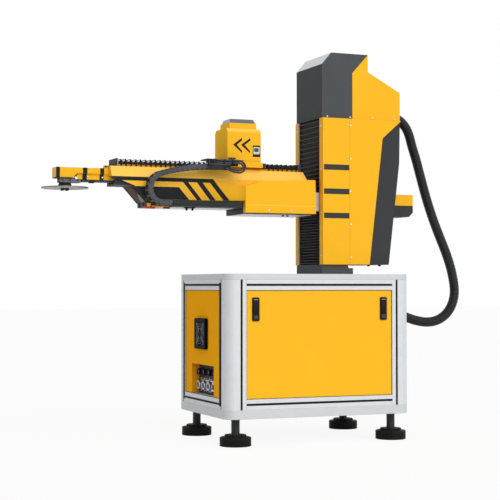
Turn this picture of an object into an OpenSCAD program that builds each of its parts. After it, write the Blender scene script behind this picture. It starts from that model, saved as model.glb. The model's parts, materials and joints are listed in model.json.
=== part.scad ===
// Stamping robot: a telescopic pick-and-place arm that rides up and down a column on a levelled cabinet.
// Millimetres. X runs along the arm, from the tool towards the column; Y from the front to the back;
// Z up from the floor. The helpers place everything from the cabinet's left face and its middle plane.

/* [Cabinet] */
// Width of the cabinet
cab_w = 775; // [700:5:900]
// Depth of the cabinet
cab_d = 540; // [460:5:640]
// Height of the cabinet on top of its feet
cab_h = 545; // [450:5:700]
// Thickness of the bottom plate
bottom_plate_t = 34; // [20:1:40]
// Thickness of the top plate
top_plate_t = 22; // [12:1:30]
// Radius of the outer corners of plates and posts
corner_r = 40; // [20:1:50]
// Width of a corner post
post_w = 80; // [70:1:90]
// Height of a rail between two posts
rail_h = 40; // [30:1:45]
// Depth of a rail between two posts
rail_d = 40; // [30:1:45]
// Width of the slots in posts and rails
slot_w = 8; // [6:0.5:10]
// Depth of the slots in posts and rails
slot_depth = 10; // [6:1:14]
// Distance of a post's slots from its outer corner
slot_pos = 60; // [55:1:64]
// Thickness of the side panels
panel_t = 4; // [2:0.5:6]
// How far the panels lie behind the faces of the frame
panel_recess = 4; // [2:0.5:8]

/* [Latches, fan and connector bay] */
// Width of a panel latch
latch_w = 29; // [20:1:36]
// Height of a panel latch
latch_h = 89; // [70:1:100]
// Radius of a panel latch's corners
latch_r = 9.5; // [4:0.5:10]
// How far a latch stands out of its panel
latch_t = 10; // [6:1:14]
// Distance of a latch's middle from the cabinet's side
latch_inset = 118; // [105:1:150]
// Distance of a latch's middle below the top plate
latch_drop = 112; // [100:1:140]
// Width and height of the fan guard
fan_w = 120; // [90:1:130]
// Depth of the fan guard
fan_t = 13; // [8:1:20]
// Bore of the fan guard
fan_bore = 108; // [80:1:112]
// Height of the fan's middle above the panel's lower edge
fan_rise = 239; // [215:1:290]
// Diameter of the fan's hub
fan_hub_d = 38; // [30:1:50]
// Width of one guard ring
fan_ring_w = 3; // [2:0.5:4]
// Width of the connector bay
bay_w = 247; // [200:1:280]
// Height of the connector bay
bay_h = 118; // [100:1:130]
// Thickness of the connector bay's sheet
bay_sheet_t = 2; // [1.5:0.5:3]
// Diameter of a connector in the upper row
plug_d = 26; // [20:1:30]
// Diameter of a connector in the lower row
socket_d = 34; // [26:1:40]
// Height of the upper row's middle above the bay's floor
plug_rise = 87; // [78:1:90]
// Height of the lower row's middle above the bay's floor
socket_rise = 35; // [30:1:44]
// Length of a connector
plug_len = 22; // [15:1:25]
// Distance from one connector to the next
plug_pitch = 56; // [45:1:60]

/* [Feet] */
// Height of the feet, floor to bottom plate
foot_h = 103; // [90:1:140]
// Diameter of a foot pad
pad_d = 120; // [90:1:130]
// Height of a foot pad
pad_h = 34; // [24:1:40]
// Bevel of a foot pad's edges
pad_edge = 4; // [1:0.5:6]
// Diameter of a pad's collar
collar_d = 83; // [60:1:86]
// Height of a pad's collar
collar_h = 9; // [5:1:14]
// Diameter of a foot's stud
stud_d = 33; // [20:1:36]
// Width of a foot's nut across its corners
nut_d = 46; // [40:1:56]
// Height of a foot's nut
nut_h = 14; // [10:1:20]
// Distance of a foot's axis from the cabinet's faces
foot_inset = 58; // [50:1:80]

/* [Column] */
// Distance of the column's front face from the cabinet's left face
column_x = 462; // [430:1:500]
// Depth of the column's dark body in Y
column_w = 244; // [230:1:260]
// Length of the column in X
column_len = 350; // [320:1:380]
// Height of the side covers
cover_h = 582; // [540:1:640]
// Thickness of the side covers
cover_t = 10; // [6:1:12]
// Length of a side cover along its lower edge
cover_low_len = 206; // [190:1:240]
// Length of a side cover at the corner of its slanted end
cover_bend_len = 266; // [250:1:300]
// Distance of that corner below the cover's upper edge
cover_bend_drop = 73; // [50:1:100]
// Thickness of the side covers' front flanges
flange_t = 4; // [2:0.5:6]
// Width of the side covers' front flanges
flange_w = 33; // [24:1:34]
// Height of the front of the column's cap
cap_front_h = 213; // [180:1:240]
// Height of the whole cap
cap_h = 262; // [250:1:300]
// Length of the cap along its lower edge
cap_len = 135; // [120:1:150]
// Length of the sloping front of the cap
cap_slope_x = 42; // [30:1:60]
// Distance of the cap's highest rear corner from the column's front
cap_top_x = 205; // [190:1:220]
// Distance of the cap's lower rear corner below its top
cap_back_drop = 77; // [60:1:90]
// Distance of the upper rear cover's front corner below the top
rear_top_drop = 69; // [50:1:80]
// Height of the rear end of the upper rear cover
rear_end_h = 116; // [80:1:140]
// Distance of the lower rear cover's bend below the upper rear cover
rear_bend_drop = 169; // [120:1:220]
// How far the lower rear cover has drawn in at its bend
rear_bend_inset = 3; // [1:1:10]
// How far the lower rear cover draws in at its foot
rear_foot_inset = 52; // [30:1:70]
// Length of the pedestal's plate
pedestal_len = 137; // [125:1:160]
// Thickness of the pedestal's plate
pedestal_plate_t = 25; // [18:1:35]
// Length of the pedestal's block
block_len = 115; // [100:1:124]
// Height of the pedestal's block
block_h = 14; // [10:1:30]
// Distance from the column's front face to its frame
frame_setback = 32; // [30:1:40]
// Length of the column's frame in X
frame_len = 96; // [80:1:100]
// Width of the passage for the arm's tail
passage_w = 130; // [122:1:132]
// Lower end of the passage, above the pedestal
passage_low = 56; // [40:1:70]
// Upper end of the passage, above the pedestal
passage_high = 466; // [450:1:490]
// Width of a guide rail
guide_w = 15; // [12:1:18]
// Height of a guide rail
guide_t = 14; // [12:1:16]
// Distance of a guide rail's middle from the middle plane
guide_y = 76; // [75:1:80]
// Distance of the guide rails' ends from the ends of the frame
guide_end_gap = 10; // [5:1:20]
// Height of one dark bar in the side covers
bar_h = 22; // [14:1:26]
// Length of one dark bar in the side covers
bar_len = 112; // [90:1:120]
// Depth of the recess of a dark bar
bar_depth = 3; // [1:0.5:5]
// Height of the lowest dark bar's middle above the pedestal
bar_low = 194; // [180:1:210]
// Distance from one dark bar to the next
bar_pitch = 96; // [80:1:110]

/* [Bellows] */
// Thickness of the column's bellows
column_bellows_t = 11; // [8:1:11]
// Distance of the column's bellows behind the column's front face
column_bellows_inset = 0.5; // [0.2:0.1:0.8]
// Clearance between the column's bellows and the flanges
column_bellows_gap = 2; // [1:0.5:4]
// Height of the bellows on the arm
arm_bellows_h = 22; // [18:1:26]
// Width of the bellows on the arm
arm_bellows_w = 96; // [80:1:98]
// Gap between the arm's bellows and the beam's top rails
arm_bellows_gap = 0.3; // [0.2:0.1:0.8]
// Number of folds of the long bellows on the arm
arm_folds = 22; // [12:1:26]
// Number of folds of the short bellows on the arm
short_folds = 7; // [4:1:12]
// Depth of a fold
fold_depth = 6; // [3:0.5:8]
// Thickness of the end plate before the long bellows
front_plate_t = 9; // [4:0.5:12]
// Distance of that end plate behind the beam's front end
front_plate_inset = 22.5; // [18:0.5:30]
// Thickness of the end plate behind the short bellows
rear_plate_t = 12; // [6:0.5:14]
// Distance of that end plate in front of the carriage
rear_plate_inset = 33; // [30:1:40]
// Length of the frame that joins the short bellows to the motor box
bellows_frame_len = 22; // [14:1:26]

/* [Lift carriage and arm beam] */
// Height of the beam's underside above the pedestal
beam_rise = 245; // [235:1:260]
// Distance of the beam's front end from the cabinet's left face
beam_front = 385.5; // [370:0.5:420]
// Width of the beam's shell
beam_w = 140; // [136:1:150]
// Height of the beam's shell
beam_h = 124; // [120:1:130]
// Height of the beam's upright sides
beam_side_h = 84; // [70:1:90]
// Width of the beam's chamfers
beam_chamfer = 22; // [16:1:24]
// Height of the rails on top of the beam
beam_rail_h = 7; // [4:0.5:9]
// Length of the slope at the beam's rear end
beam_back_slope = 11; // [6:1:16]
// Length of the shoulder behind that slope
beam_back_len = 14; // [8:1:18]
// Height of the beam's rear slope over the housing
beam_back_rise = 4; // [2:1:8]
// Height of the beam's dark base
base_h = 28.5; // [26:0.5:36]
// Distance of the base's front behind the shell's lower front corner
base_inset = 18; // [10:1:24]
// Width of the beam's nose
nose_w = 114; // [100:1:130]
// Height of the nose's underside above the base's underside
nose_rise = 80; // [74:1:84]
// Height of the nose's upright lower face
nose_face_h = 16.5; // [10:0.5:24]
// Length of the nose in front of the base
nose_foot = 14; // [8:1:18]
// Clearance between the forearm and the channel that it slides in
forearm_gap = 5.5; // [5:0.5:8]
// Thickness of the carriage plate
carriage_t = 25; // [20:1:26]
// Height of the carriage plate
carriage_h = 74; // [60:1:80]
// Width of the carriage plate
carriage_w = 186; // [176:1:188]
// Distance of the carriage plate's lower edge below the beam's shell
carriage_drop = 33; // [28:1:44]
// Inset of the carriage's neck and blocks from the plate's edges
carriage_inset = 5; // [3:1:8]
// Gap between the carriage's neck and the bellows' back
neck_gap = 0.5; // [0.3:0.1:0.5]
// Clearance between a guide block and the column's frame
block_gap = 3; // [2:0.5:5]
// Running clearance between a guide block and its rail
guide_gap = 0.4; // [0.2:0.1:0.8]
// Width of a guide block
guide_block_w = 38; // [30:1:38]
// Length of the housing
housing_len = 307; // [290:1:320]
// Width of the housing
housing_w = 240; // [220:1:250]
// Height of the housing
housing_h = 134; // [124:1:140]
// How much shorter the housing is at the back
housing_back_cut = 19; // [0:1:40]
// How far the housing's front end leans back
housing_lean = 8; // [4:1:14]
// Distance of the housing's front corner below its top
housing_corner_drop = 32; // [24:1:44]
// Length of the sloping front of the housing's top
housing_slope_len = 93; // [60:1:120]
// How far the housing's top falls along its full length
housing_fall = 6; // [2:1:10]
// Height of the housing's lower, proud band
housing_band_h = 28; // [20:1:40]
// Height of the housing's upper, leaning band
housing_lean_h = 30; // [20:1:40]
// Depth of the fold between the housing's bands
housing_fold = 3; // [1:0.5:5]
// Length over which the beam's side flares out to the housing
flare_len = 158; // [120:1:180]
// Length of the flat behind the flare's curve
flare_flat = 13; // [8:1:20]
// How far the flare's curve ends short of the housing's side
flare_step = 15; // [8:1:20]
// Width of the tray under the housing
tray_w = 192; // [170:1:200]
// Thickness of the tray's floor
tray_t = 21; // [16:0.5:24]
// Height of the tray's walls above its floor
tray_wall_h = 26.5; // [20:0.5:28]
// Distance of the tray's front face behind the housing's front
tray_inset = 10; // [6:1:20]
// Width of the beam's tail
tail_w = 100; // [80:1:108]
// Height of the yellow top of the tail
tail_top_h = 45; // [35:1:50]
// Height of the dark base of the tail
tail_base_h = 46; // [40:1:50]
// How far the tail reaches behind the column
tail_reach = 99; // [60:1:110]
// Bevel of the tail's lower rear edge
tail_bevel = 18; // [8:1:24]

/* [Drag chain] */
// Width of the drag chain
chain_w = 44; // [40:1:48]
// Height of a chain link
chain_h = 22; // [18:1:24]
// Inner clearance between the chain and what it runs along
chain_gap = 5; // [5:0.5:8]
// Centre-line radius of the chain's lower bend
chain_low_r = 52; // [48:1:60]
// Centre-line radius of the chain's upper bend
chain_high_r = 63; // [56:1:70]
// Slope of the chain's upper run where it leaves the bend, in degrees
chain_slope = 15.5; // [12:0.1:18]
// Centre-line radius of the chain's sagging upper run
chain_sag_r = 880; // [800:10:1100]
// Distance of the chain's bend centre from the cabinet's left face
chain_bend = 195.7; // [180:0.1:210]
// Distance of the chain's upper end from the cabinet's left face
chain_high_end = 5; // [0:1:10]
// Distance of the chain's lower end from the cabinet's left face
chain_low_end = 20; // [10:1:30]
// Clearance between the chain's lower run and the floor of its tray
chain_seat_gap = 0.3; // [0.2:0.1:1]
// Sheet thickness of the chain's tray
chain_sheet_t = 2; // [1.5:0.5:4]
// Distance of the tray's front end behind the chain's bend centre
chain_tray_inset = 36.7; // [30:0.1:50]
// Height of the chain tray's wall
chain_tray_h = 23.5; // [18:0.5:27]
// Gap between the chain's tray and the housing
chain_tray_gap = 7; // [5:0.5:12]

/* [Chain bracket and cables] */
// Height of the chain bracket's top above the beam's top
bracket_top = 32; // [30:1:38]
// Thickness of the chain bracket's plate
bracket_t = 4; // [3:0.5:6]
// Length of the chain bracket in front of the motor box
bracket_front = 112; // [100:1:120]
// Length of the chain bracket along the motor box
bracket_side = 44; // [30:1:60]
// Thickness of the chain bracket's skirt
skirt_t = 3; // [2:0.5:4]
// Height of the chain bracket's skirt
skirt_h = 38; // [30:1:40]
// Distance of the skirt's front end from the cabinet's left face
skirt_x = 16; // [10:1:20]
// Length of the skirt along its upper edge
skirt_len = 89; // [70:1:100]
// Length of the cut at the skirt's lower corner
skirt_cut = 14; // [8:1:20]
// Diameter of a cable on the chain bracket
cable_d = 8; // [6:0.5:8.5]
// Distance from one cable's middle to the next
cable_pitch = 9; // [8.5:0.5:10]
// Bend radius of the inner cable
cable_r = 14; // [12:0.5:16]
// Distance of the cables' bend centre from the cabinet's left face
cable_bend = 108; // [100:1:115]
// Distance of the cables' bend centre below the bracket's top
cable_drop = 27; // [26:0.5:30]
// Length of the cables' upper run
cable_high_len = 138; // [120:1:140]
// Length of the cables' lower run
cable_low_len = 68; // [50:1:80]
// Length of a cable clip
clip_len = 42; // [20:1:50]
// Thickness of a cable clip over the cables
clip_t = 2; // [1:0.5:3]

/* [Motor box] */
// Distance of the motor box from the cabinet's left face
motor_x = 81.5; // [70:0.5:90]
// Length of the motor box
motor_len = 141; // [130:1:150]
// Width of the motor box
motor_w = 136; // [120:1:138]
// Height of the motor box up to its shoulders
motor_h = 138; // [130:1:160]
// Height of the motor box's shoulders
shoulder_h = 14; // [8:1:20]
// Width of the motor box's shoulders
shoulder_w = 11; // [6:1:16]
// Inset of the neck from the motor box's front
neck_front_inset = 15.5; // [8:0.5:24]
// Inset of the neck from the motor box's back
neck_back_inset = 11.5; // [8:0.5:24]
// Inset of the neck from the motor box's sides
neck_side_inset = 18; // [16:1:24]
// Height of the neck over the shoulders
neck_h = 22.5; // [15:0.5:40]
// Height of the flange behind the motor box
motor_flange_h = 16; // [10:1:20]
// Length of the flange behind the motor box
motor_flange_len = 8.5; // [5:0.5:12]
// Height of the grey cap
motor_cap_h = 17; // [10:1:20]
// Inset of the grey cap from the neck
motor_cap_inset = 3; // [1:0.5:5]
// Slope of the grey cap at its ends
motor_cap_end_slope = 5; // [3:1:15]
// Slope of the grey cap at its sides
motor_cap_side_slope = 12; // [6:1:16]
// Running clearance between the motor box and the beam's top rails
motor_gap = 3; // [2:0.5:5]
// Inset of the motor box's foot from its ends
motor_foot_inset = 14; // [10:1:30]
// Width of the display's window
window_w = 32; // [24:1:36]
// Height of the display's window
window_h = 45; // [36:1:56]
// Depth of the display's window
window_depth = 10; // [6:1:14]
// Distance of the window from the motor box's right edge
window_edge = 2; // [1.5:0.5:10]
// Height of the window's lower edge above the motor box's underside
window_rise = 41.5; // [36:0.5:60]
// Gap between the display and its window's edges
display_edge = 3; // [1:0.5:5]
// Depth of the display's front below the motor box's side
display_sink = 4; // [2:0.5:6]

/* [Forearm and tool] */
// Distance of the forearm's tip from the cabinet's left face
tip_x = 589.5; // [580:0.5:610]
// Distance of the forearm's top below the beam's top
forearm_inset = 9.5; // [6:0.5:12]
// Width of the forearm's upper part
forearm_w = 61; // [50:1:64]
// Height of the forearm's upper part
forearm_h = 21; // [18:1:26]
// Width of the forearm's lower part
keel_w = 42; // [36:1:50]
// Height of the forearm's lower part
keel_h = 17; // [14:1:20]
// Height of the slope between the forearm's two parts
keel_slope_h = 6; // [4:1:10]
// Length of the forearm's tip
tip_len = 82.5; // [80:0.5:90]
// Height of the forearm's tip
tip_h = 38; // [34:1:42]
// Length of the cut at the tip's lower rear corner
tip_cut = 18; // [10:1:24]
// Length of the forearm along the motor box
forearm_back = 39; // [20:1:60]
// Width of the dark strip under the forearm
strip_w = 36; // [30:1:40]
// Height of the dark strip under the forearm
strip_h = 8; // [5:1:9]
// Distance of the strip's front end behind the forearm's tip
strip_inset = 20.5; // [17:0.5:30]
// Length of the tool bracket
bracket_len = 81.5; // [78:0.5:90]
// Width of the tool bracket
bracket_w = 36; // [30:1:42]
// Height of the tool bracket below the forearm's tip
bracket_h = 18.5; // [14:0.5:22]
// Distance of the tool bracket from the forearm's front end
bracket_inset = 16.5; // [10:0.5:20]
// Upper diameter of the tool's hub
hub_top_d = 45; // [36:1:48]
// Lower diameter of the tool's hub
hub_base_d = 54.5; // [46:0.5:60]
// Height of the tool's hub
hub_h = 16.5; // [13:0.5:20]
// Diameter of the tool disc
disc_d = 178; // [140:1:200]
// Thickness of the tool disc
disc_t = 5; // [4:0.5:12]
// Distance of the disc's axis from the forearm's front end
disc_inset = 41.5; // [40:0.5:60]
// Diameter of the disc's shaft
shaft_d = 16; // [12:1:20]
// Length of the disc's shaft
shaft_len = 11; // [8:0.5:11]
// Radial clearance of the disc's shaft in its bore
shaft_gap = 0.05; // [0.02:0.01:0.1]
// Gap between the turning disc and the hub
disc_gap = 0.5; // [0.3:0.1:1]
// Diameter of the tool's bolt circle
bolt_circle_d = 63; // [50:1:80]
// Diameter of the tool's bolt holes
bolt_hole_d = 6.6; // [5:0.1:9]
// Number of the tool's bolt holes
bolt_count = 4; // [3:1:8]

/* [Hose] */
// Diameter of the hose
hose_d = 40; // [32:1:44]
// Diameter of a hose gland
gland_d = 56; // [50:1:64]
// Length of the gland on the column
column_gland_len = 26; // [20:1:30]

/* [Hidden] */
$fn = 64;

yellow = "#FBBE2D";
charcoal = "#3D3D3D";
black = "#1E1E1A";
aluminium = "#D8DCE0";
steel = "#9A958C";

// Height levels
cab_top = foot_h + cab_h;
frame_low = foot_h + bottom_plate_t;
frame_high = cab_top - top_plate_t;
panel_low = frame_low + rail_h;
panel_high = frame_high - rail_h;
column_low = cab_top + pedestal_plate_t + block_h;
column_high = column_low + cover_h;
machine_top = column_high + cap_h;
beam_low = column_low + beam_rise;
beam_high = beam_low + beam_h;
base_low = beam_low - base_h;
tail_low = beam_low - tail_base_h;
housing_high = tail_low + housing_h;
rail_high = beam_high + beam_rail_h;
bellows_high = rail_high + arm_bellows_gap + arm_bellows_h;
motor_low = rail_high + motor_gap;
bracket_high = beam_high + bracket_top;
forearm_high = beam_high - forearm_inset;
keel_low = forearm_high - forearm_h - keel_slope_h - keel_h;
tip_low = forearm_high - tip_h;
strip_low = keel_low - strip_h;
channel_low = strip_low - chain_gap;
carriage_low = beam_low - carriage_drop;
carriage_high = carriage_low + carriage_h;
hub_high = tip_low - bracket_h;
hub_low = hub_high - hub_h;
disc_high = hub_low - disc_gap;

// Places along X, from the cabinet's left face
column_end = column_x + column_len;
frame_x = column_x + frame_setback;
carriage_x = column_x - carriage_t;
housing_x = carriage_x - housing_len;
tail_end = column_end + tail_reach;
motor_end = motor_x + motor_len;
tip_end = tip_len - tip_x;
disc_x = disc_inset - tip_x;
machine_left = disc_x - disc_d / 2;
machine_mid = (machine_left + tail_end) / 2;
neck_back_x = column_x + column_bellows_inset + column_bellows_t + neck_gap;
front_plate_x = front_plate_inset - beam_front;
rear_plate_x = carriage_x - rear_plate_inset - rear_plate_t;
bellows_frame_x = motor_end + motor_flange_len;

// Half widths in Y
column_y = column_w / 2;
cover_y = column_y + cover_t;
beam_y = beam_w / 2;
beam_rail_y = beam_y - beam_chamfer;
housing_y = housing_w / 2;
tray_y = tray_w / 2;
channel_y = forearm_w / 2 + forearm_gap;
chain_back_y = beam_y + chain_gap;
chain_front_y = chain_back_y + chain_w;

// Lower edge of the beam's front end, as parts of the beam's height, from its upper front corner:
// back and down. Its last point is where the shell's flat underside begins.
FRONT_END = [[0, 0.33], [0.145, 0.41], [0.285, 0.45], [0.675, 0.58], [0.715, 0.613], [1.1, 1]];
front_edge = [for (p = FRONT_END) [p.x * beam_h - beam_front, beam_high - p.y * beam_h]];
base_x = front_edge[5].x + base_inset;

// Steps in each half of the housing's flare and in the chain's curved upper run
FLARE_STEPS = 10;
SAG_STEPS = 8;

// Hose route: X from the cabinet's left face, Y from the middle plane, Z from the floor
HOSE_ROUTE = [[838, 0, 1299], [860, 0, 1296], [884, 0, 1283], [908, 0, 1257], [923, 0, 1224],
    [934, 0, 1187], [945, 0, 1155], [956, 0, 1122], [975, 0, 1058], [994, 0, 995], [1015, 0, 932],
    [1040, 0, 867], [1068, 0, 803], [1096, 0, 740], [1119, 0, 676], [1132, 0, 620], [1136, 0, 580],
    [1131, 0, 544], [1115, 0, 508], [1088, 0, 478], [1050, 0, 458], [1004, 0, 451], [952, 0, 458],
    [902, 0, 473], [850, 0, 488], [803, 0, 498]];
HOSE_SIDES = 12;

// Puts what is measured from the cabinet's left face into the machine's own frame.
module placed() {
    translate([-machine_mid, 0, 0]) children();
}

// A box between two corners.
module block(low, high) {
    translate(low) cube(high - low);
}

// An outline in X and Z, from one Y to another.
module side_profile(points, y_from, y_to) {
    translate([0, y_to, 0]) rotate([90, 0, 0]) linear_extrude(y_to - y_from) polygon(points);
}

// An outline in Y and Z, from one X to another.
module end_profile(points, x_from, x_to) {
    translate([x_from, 0, 0]) rotate([90, 0, 90]) linear_extrude(x_to - x_from) polygon(points);
}

// A copy on each side of the middle plane.
module both_sides() {
    children();
    mirror([0, 1, 0]) children();
}

// A copy at each corner of the cabinet, for what is drawn at its front left corner.
module at_cabinet_corners() {
    for (right = [0, 1], back = [0, 1]) {
        translate([right * cab_w, (back - 0.5) * cab_d, 0])
            mirror([right, 0, 0]) mirror([0, back, 0]) children();
    }
}

// The outline of the top and bottom plates.
module plate_outline() {
    translate([corner_r, -cab_d / 2]) square([cab_w - 2 * corner_r, cab_d]);
    translate([0, corner_r - cab_d / 2]) square([cab_w, cab_d - 2 * corner_r]);
    for (x = [corner_r, cab_w - corner_r], y = [-1, 1]) {
        translate([x, y * (cab_d / 2 - corner_r)]) circle(corner_r);
    }
}

module bottom_plate() {
    color(aluminium) placed() translate([0, 0, foot_h]) linear_extrude(bottom_plate_t) plate_outline();
}

module top_plate() {
    color(aluminium) placed() translate([0, 0, frame_high]) linear_extrude(top_plate_t) plate_outline();
}

// A post's section, with its round corner at the origin and its slots in both outer faces.
module post_section() {
    difference() {
        union() {
            translate([corner_r, 0]) square([post_w - corner_r, post_w]);
            translate([0, corner_r]) square([post_w, post_w - corner_r]);
            translate([corner_r, corner_r]) circle(corner_r);
        }
        translate([slot_pos - slot_w / 2, -1]) square([slot_w, slot_depth + 1]);
        translate([-1, slot_pos - slot_w / 2]) square([slot_depth + 1, slot_w]);
    }
}

module corner_posts() {
    color(aluminium) placed() at_cabinet_corners()
        translate([0, 0, frame_low]) linear_extrude(frame_high - frame_low) post_section();
}

// A rail of the given length along X, with its slotted face at Y = 0.
module rail(length) {
    difference() {
        cube([length, rail_d, rail_h]);
        translate([-1, -1, (rail_h - slot_w) / 2]) cube([length + 2, slot_depth + 1, slot_w]);
    }
}

module rails() {
    color(aluminium) placed() for (z = [frame_low, panel_high]) {
        both_sides() translate([post_w, -cab_d / 2, z]) rail(cab_w - 2 * post_w);
        translate([0, cab_d / 2 - post_w, z]) rotate([0, 0, -90]) rail(cab_d - 2 * post_w);
        translate([cab_w, post_w - cab_d / 2, z]) rotate([0, 0, 90]) rail(cab_d - 2 * post_w);
    }
}

// The long panel at the front; the rear one is its mirror image.
module long_panel() {
    y = panel_recess - cab_d / 2;
    block([post_w, y, panel_low], [cab_w - post_w, y + panel_t, panel_high]);
}

module front_panel() {
    color(yellow) placed() long_panel();
}

module rear_panel() {
    color(yellow) placed() mirror([0, 1, 0]) long_panel();
}

module left_panel() {
    side_y = cab_d / 2 - post_w;
    color(yellow) placed() difference() {
        block([panel_recess, -side_y, panel_low], [panel_recess + panel_t, side_y, panel_high]);
        block([0, -bay_w / 2, panel_low - 1], [panel_recess + panel_t + 1, bay_w / 2, panel_low + bay_h]);
    }
}

module right_panel() {
    side_y = cab_d / 2 - post_w;
    x = cab_w - panel_recess;
    color(yellow) placed() block([x - panel_t, -side_y, panel_low], [x, side_y, panel_high]);
}

// One latch, standing on a panel that faces the front, with its middle at the origin.
module latch() {
    rotate([90, 0, 0]) linear_extrude(latch_t) {
        square([latch_w - 2 * latch_r, latch_h], center = true);
        square([latch_w, latch_h - 2 * latch_r], center = true);
        for (x = [-1, 1], z = [-1, 1]) {
            translate([x * (latch_w / 2 - latch_r), z * (latch_h / 2 - latch_r)]) circle(latch_r);
        }
    }
}

module latches() {
    color(black) placed() both_sides() for (x = [latch_inset, cab_w - latch_inset]) {
        translate([x, panel_recess - cab_d / 2, cab_top - top_plate_t - latch_drop]) latch();
    }
}

// The fan guard on the left panel: a square frame round rings that cross bars join to the hub.
module fan_guard() {
    ring_count = 3;
    ring_step = (fan_bore - fan_hub_d) / (ring_count + 1);
    color(black) placed() translate([panel_recess, 0, panel_low + fan_rise]) rotate([0, -90, 0]) {
        difference() {
            translate([0, 0, fan_t / 2]) cube([fan_w, fan_w, fan_t], center = true);
            translate([0, 0, -1]) cylinder(d = fan_bore, h = fan_t + 2);
        }
        for (ring = [1:ring_count]) {
            ring_d = fan_hub_d + ring * ring_step;
            translate([0, 0, fan_t - fan_ring_w]) difference() {
                cylinder(d = ring_d + fan_ring_w, h = fan_ring_w);
                translate([0, 0, -1]) cylinder(d = ring_d - fan_ring_w, h = fan_ring_w + 2);
            }
        }
        cylinder(d = fan_hub_d, h = fan_t);
        for (angle = [45, 135]) {
            translate([0, 0, fan_t - fan_ring_w / 2]) rotate([0, 0, angle])
                cube([fan_bore + fan_ring_w, fan_ring_w, fan_ring_w], center = true);
        }
    }
}

// The sheet-metal bay behind the left panel, open to the left and standing on the rail.
module connector_bay() {
    x = panel_recess + panel_t;
    y = bay_w / 2;
    z = panel_low + bay_h;
    color(yellow) placed() {
        block([rail_d - bay_sheet_t, -y, panel_low], [rail_d, y, z]);
        both_sides() block([x, y, panel_low], [rail_d, y + bay_sheet_t, z + bay_sheet_t]);
        block([x, -y, z], [rail_d, y, z + bay_sheet_t]);
    }
}

// A row of four connectors on the back of the bay.
module connector_row(diameter, z) {
    placed() for (i = [-1.5:1.5]) {
        translate([rail_d - bay_sheet_t - plug_len, i * plug_pitch, z]) rotate([0, 90, 0])
            cylinder(d = diameter, h = plug_len);
    }
}

module upper_connectors() {
    color(black) connector_row(plug_d, panel_low + plug_rise);
}

module lower_connectors() {
    color(steel) connector_row(socket_d, panel_low + socket_rise);
}

module foot_pads() {
    r = pad_d / 2;
    profile = [[0, 0], [r - pad_edge, 0], [r, pad_edge], [r, pad_h - pad_edge], [r - pad_edge, pad_h],
        [collar_d / 2, pad_h], [collar_d / 2, pad_h + collar_h], [0, pad_h + collar_h]];
    color(black) placed() at_cabinet_corners()
        translate([foot_inset, foot_inset, 0]) rotate_extrude() polygon(profile);
}

module foot_studs() {
    stud_low = pad_h + collar_h;
    color(black) placed() at_cabinet_corners() translate([foot_inset, foot_inset, 0]) {
        translate([0, 0, stud_low]) cylinder(d = stud_d, h = foot_h - stud_low);
        translate([0, 0, foot_h - nut_h]) cylinder(d = nut_d, h = nut_h, $fn = 6);
    }
}

module pedestal() {
    color(charcoal) placed() {
        block([column_x, -column_y, cab_top], [column_x + pedestal_len, column_y, cab_top + pedestal_plate_t]);
        block([column_x, -column_y, cab_top], [column_x + block_len, column_y, column_low]);
    }
}

// The way through the column that the arm's tail moves up and down in.
module passage() {
    block([column_x - 1, -passage_w / 2, column_low + passage_low],
        [column_end + 1, passage_w / 2, column_low + passage_high]);
}

module column_frame() {
    color(charcoal) placed() difference() {
        block([frame_x, -column_y, column_low], [frame_x + frame_len, column_y, column_high]);
        passage();
    }
}

module guide_rails() {
    color(steel) placed() both_sides()
        block([frame_x - guide_t, guide_y - guide_w / 2, column_low + guide_end_gap],
            [frame_x, guide_y + guide_w / 2, column_high - guide_end_gap]);
}

// The yellow cover on the front side of the column, with its flange round the column's front face.
module side_cover() {
    outline = [[column_x, column_low], [column_x + cover_low_len, column_low],
        [column_x + cover_bend_len, column_high - cover_bend_drop], [column_end, column_high],
        [column_x, column_high]];
    difference() {
        side_profile(outline, -cover_y, -column_y);
        for (i = [0:2]) {
            z = column_low + bar_low + i * bar_pitch;
            block([column_x + flange_t, -cover_y - 1, z - bar_h / 2],
                [column_x + flange_t + bar_len, -cover_y + bar_depth, z + bar_h / 2]);
        }
    }
    block([column_x, -cover_y, column_low], [column_x + flange_t, flange_w - cover_y, column_high]);
}

module side_cover_front() {
    color(yellow) placed() side_cover();
}

module side_cover_rear() {
    color(yellow) placed() mirror([0, 1, 0]) side_cover();
}

module column_cap() {
    outline = [[column_x, column_high], [column_x, column_high + cap_front_h],
        [column_x + cap_slope_x, machine_top], [column_x + cap_top_x, machine_top],
        [column_x + cap_len, machine_top - cap_back_drop], [column_x + cap_len, column_high]];
    color(charcoal) placed() side_profile(outline, -column_y, column_y);
}

module rear_cover_upper() {
    outline = [[column_x + cap_len, column_high], [column_x + cap_len, machine_top - cap_back_drop],
        [column_x + cap_top_x, machine_top], [column_x + cap_top_x, machine_top - rear_top_drop],
        [column_end, column_high + rear_end_h], [column_end, column_high]];
    color(yellow) placed() side_profile(outline, -column_y, column_y);
}

module rear_cover_lower() {
    x = frame_x + frame_len;
    outline = [[x, column_low], [x, column_high], [column_end, column_high],
        [column_end - rear_bend_inset, column_high - rear_bend_drop],
        [column_end - rear_foot_inset, column_low]];
    color(charcoal) placed() difference() {
        side_profile(outline, -column_y, column_y);
        passage();
    }
}

// A stretch of the column's bellows between two heights.
module column_bellows(z_from, z_to) {
    x = column_x + column_bellows_inset;
    y = cover_y - flange_w - column_bellows_gap;
    color(black) placed() block([x, -y, z_from], [x + column_bellows_t, y, z_to]);
}

module column_bellows_upper() {
    column_bellows(carriage_high, column_high);
}

module column_bellows_lower() {
    column_bellows(column_low, carriage_low);
}

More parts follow.
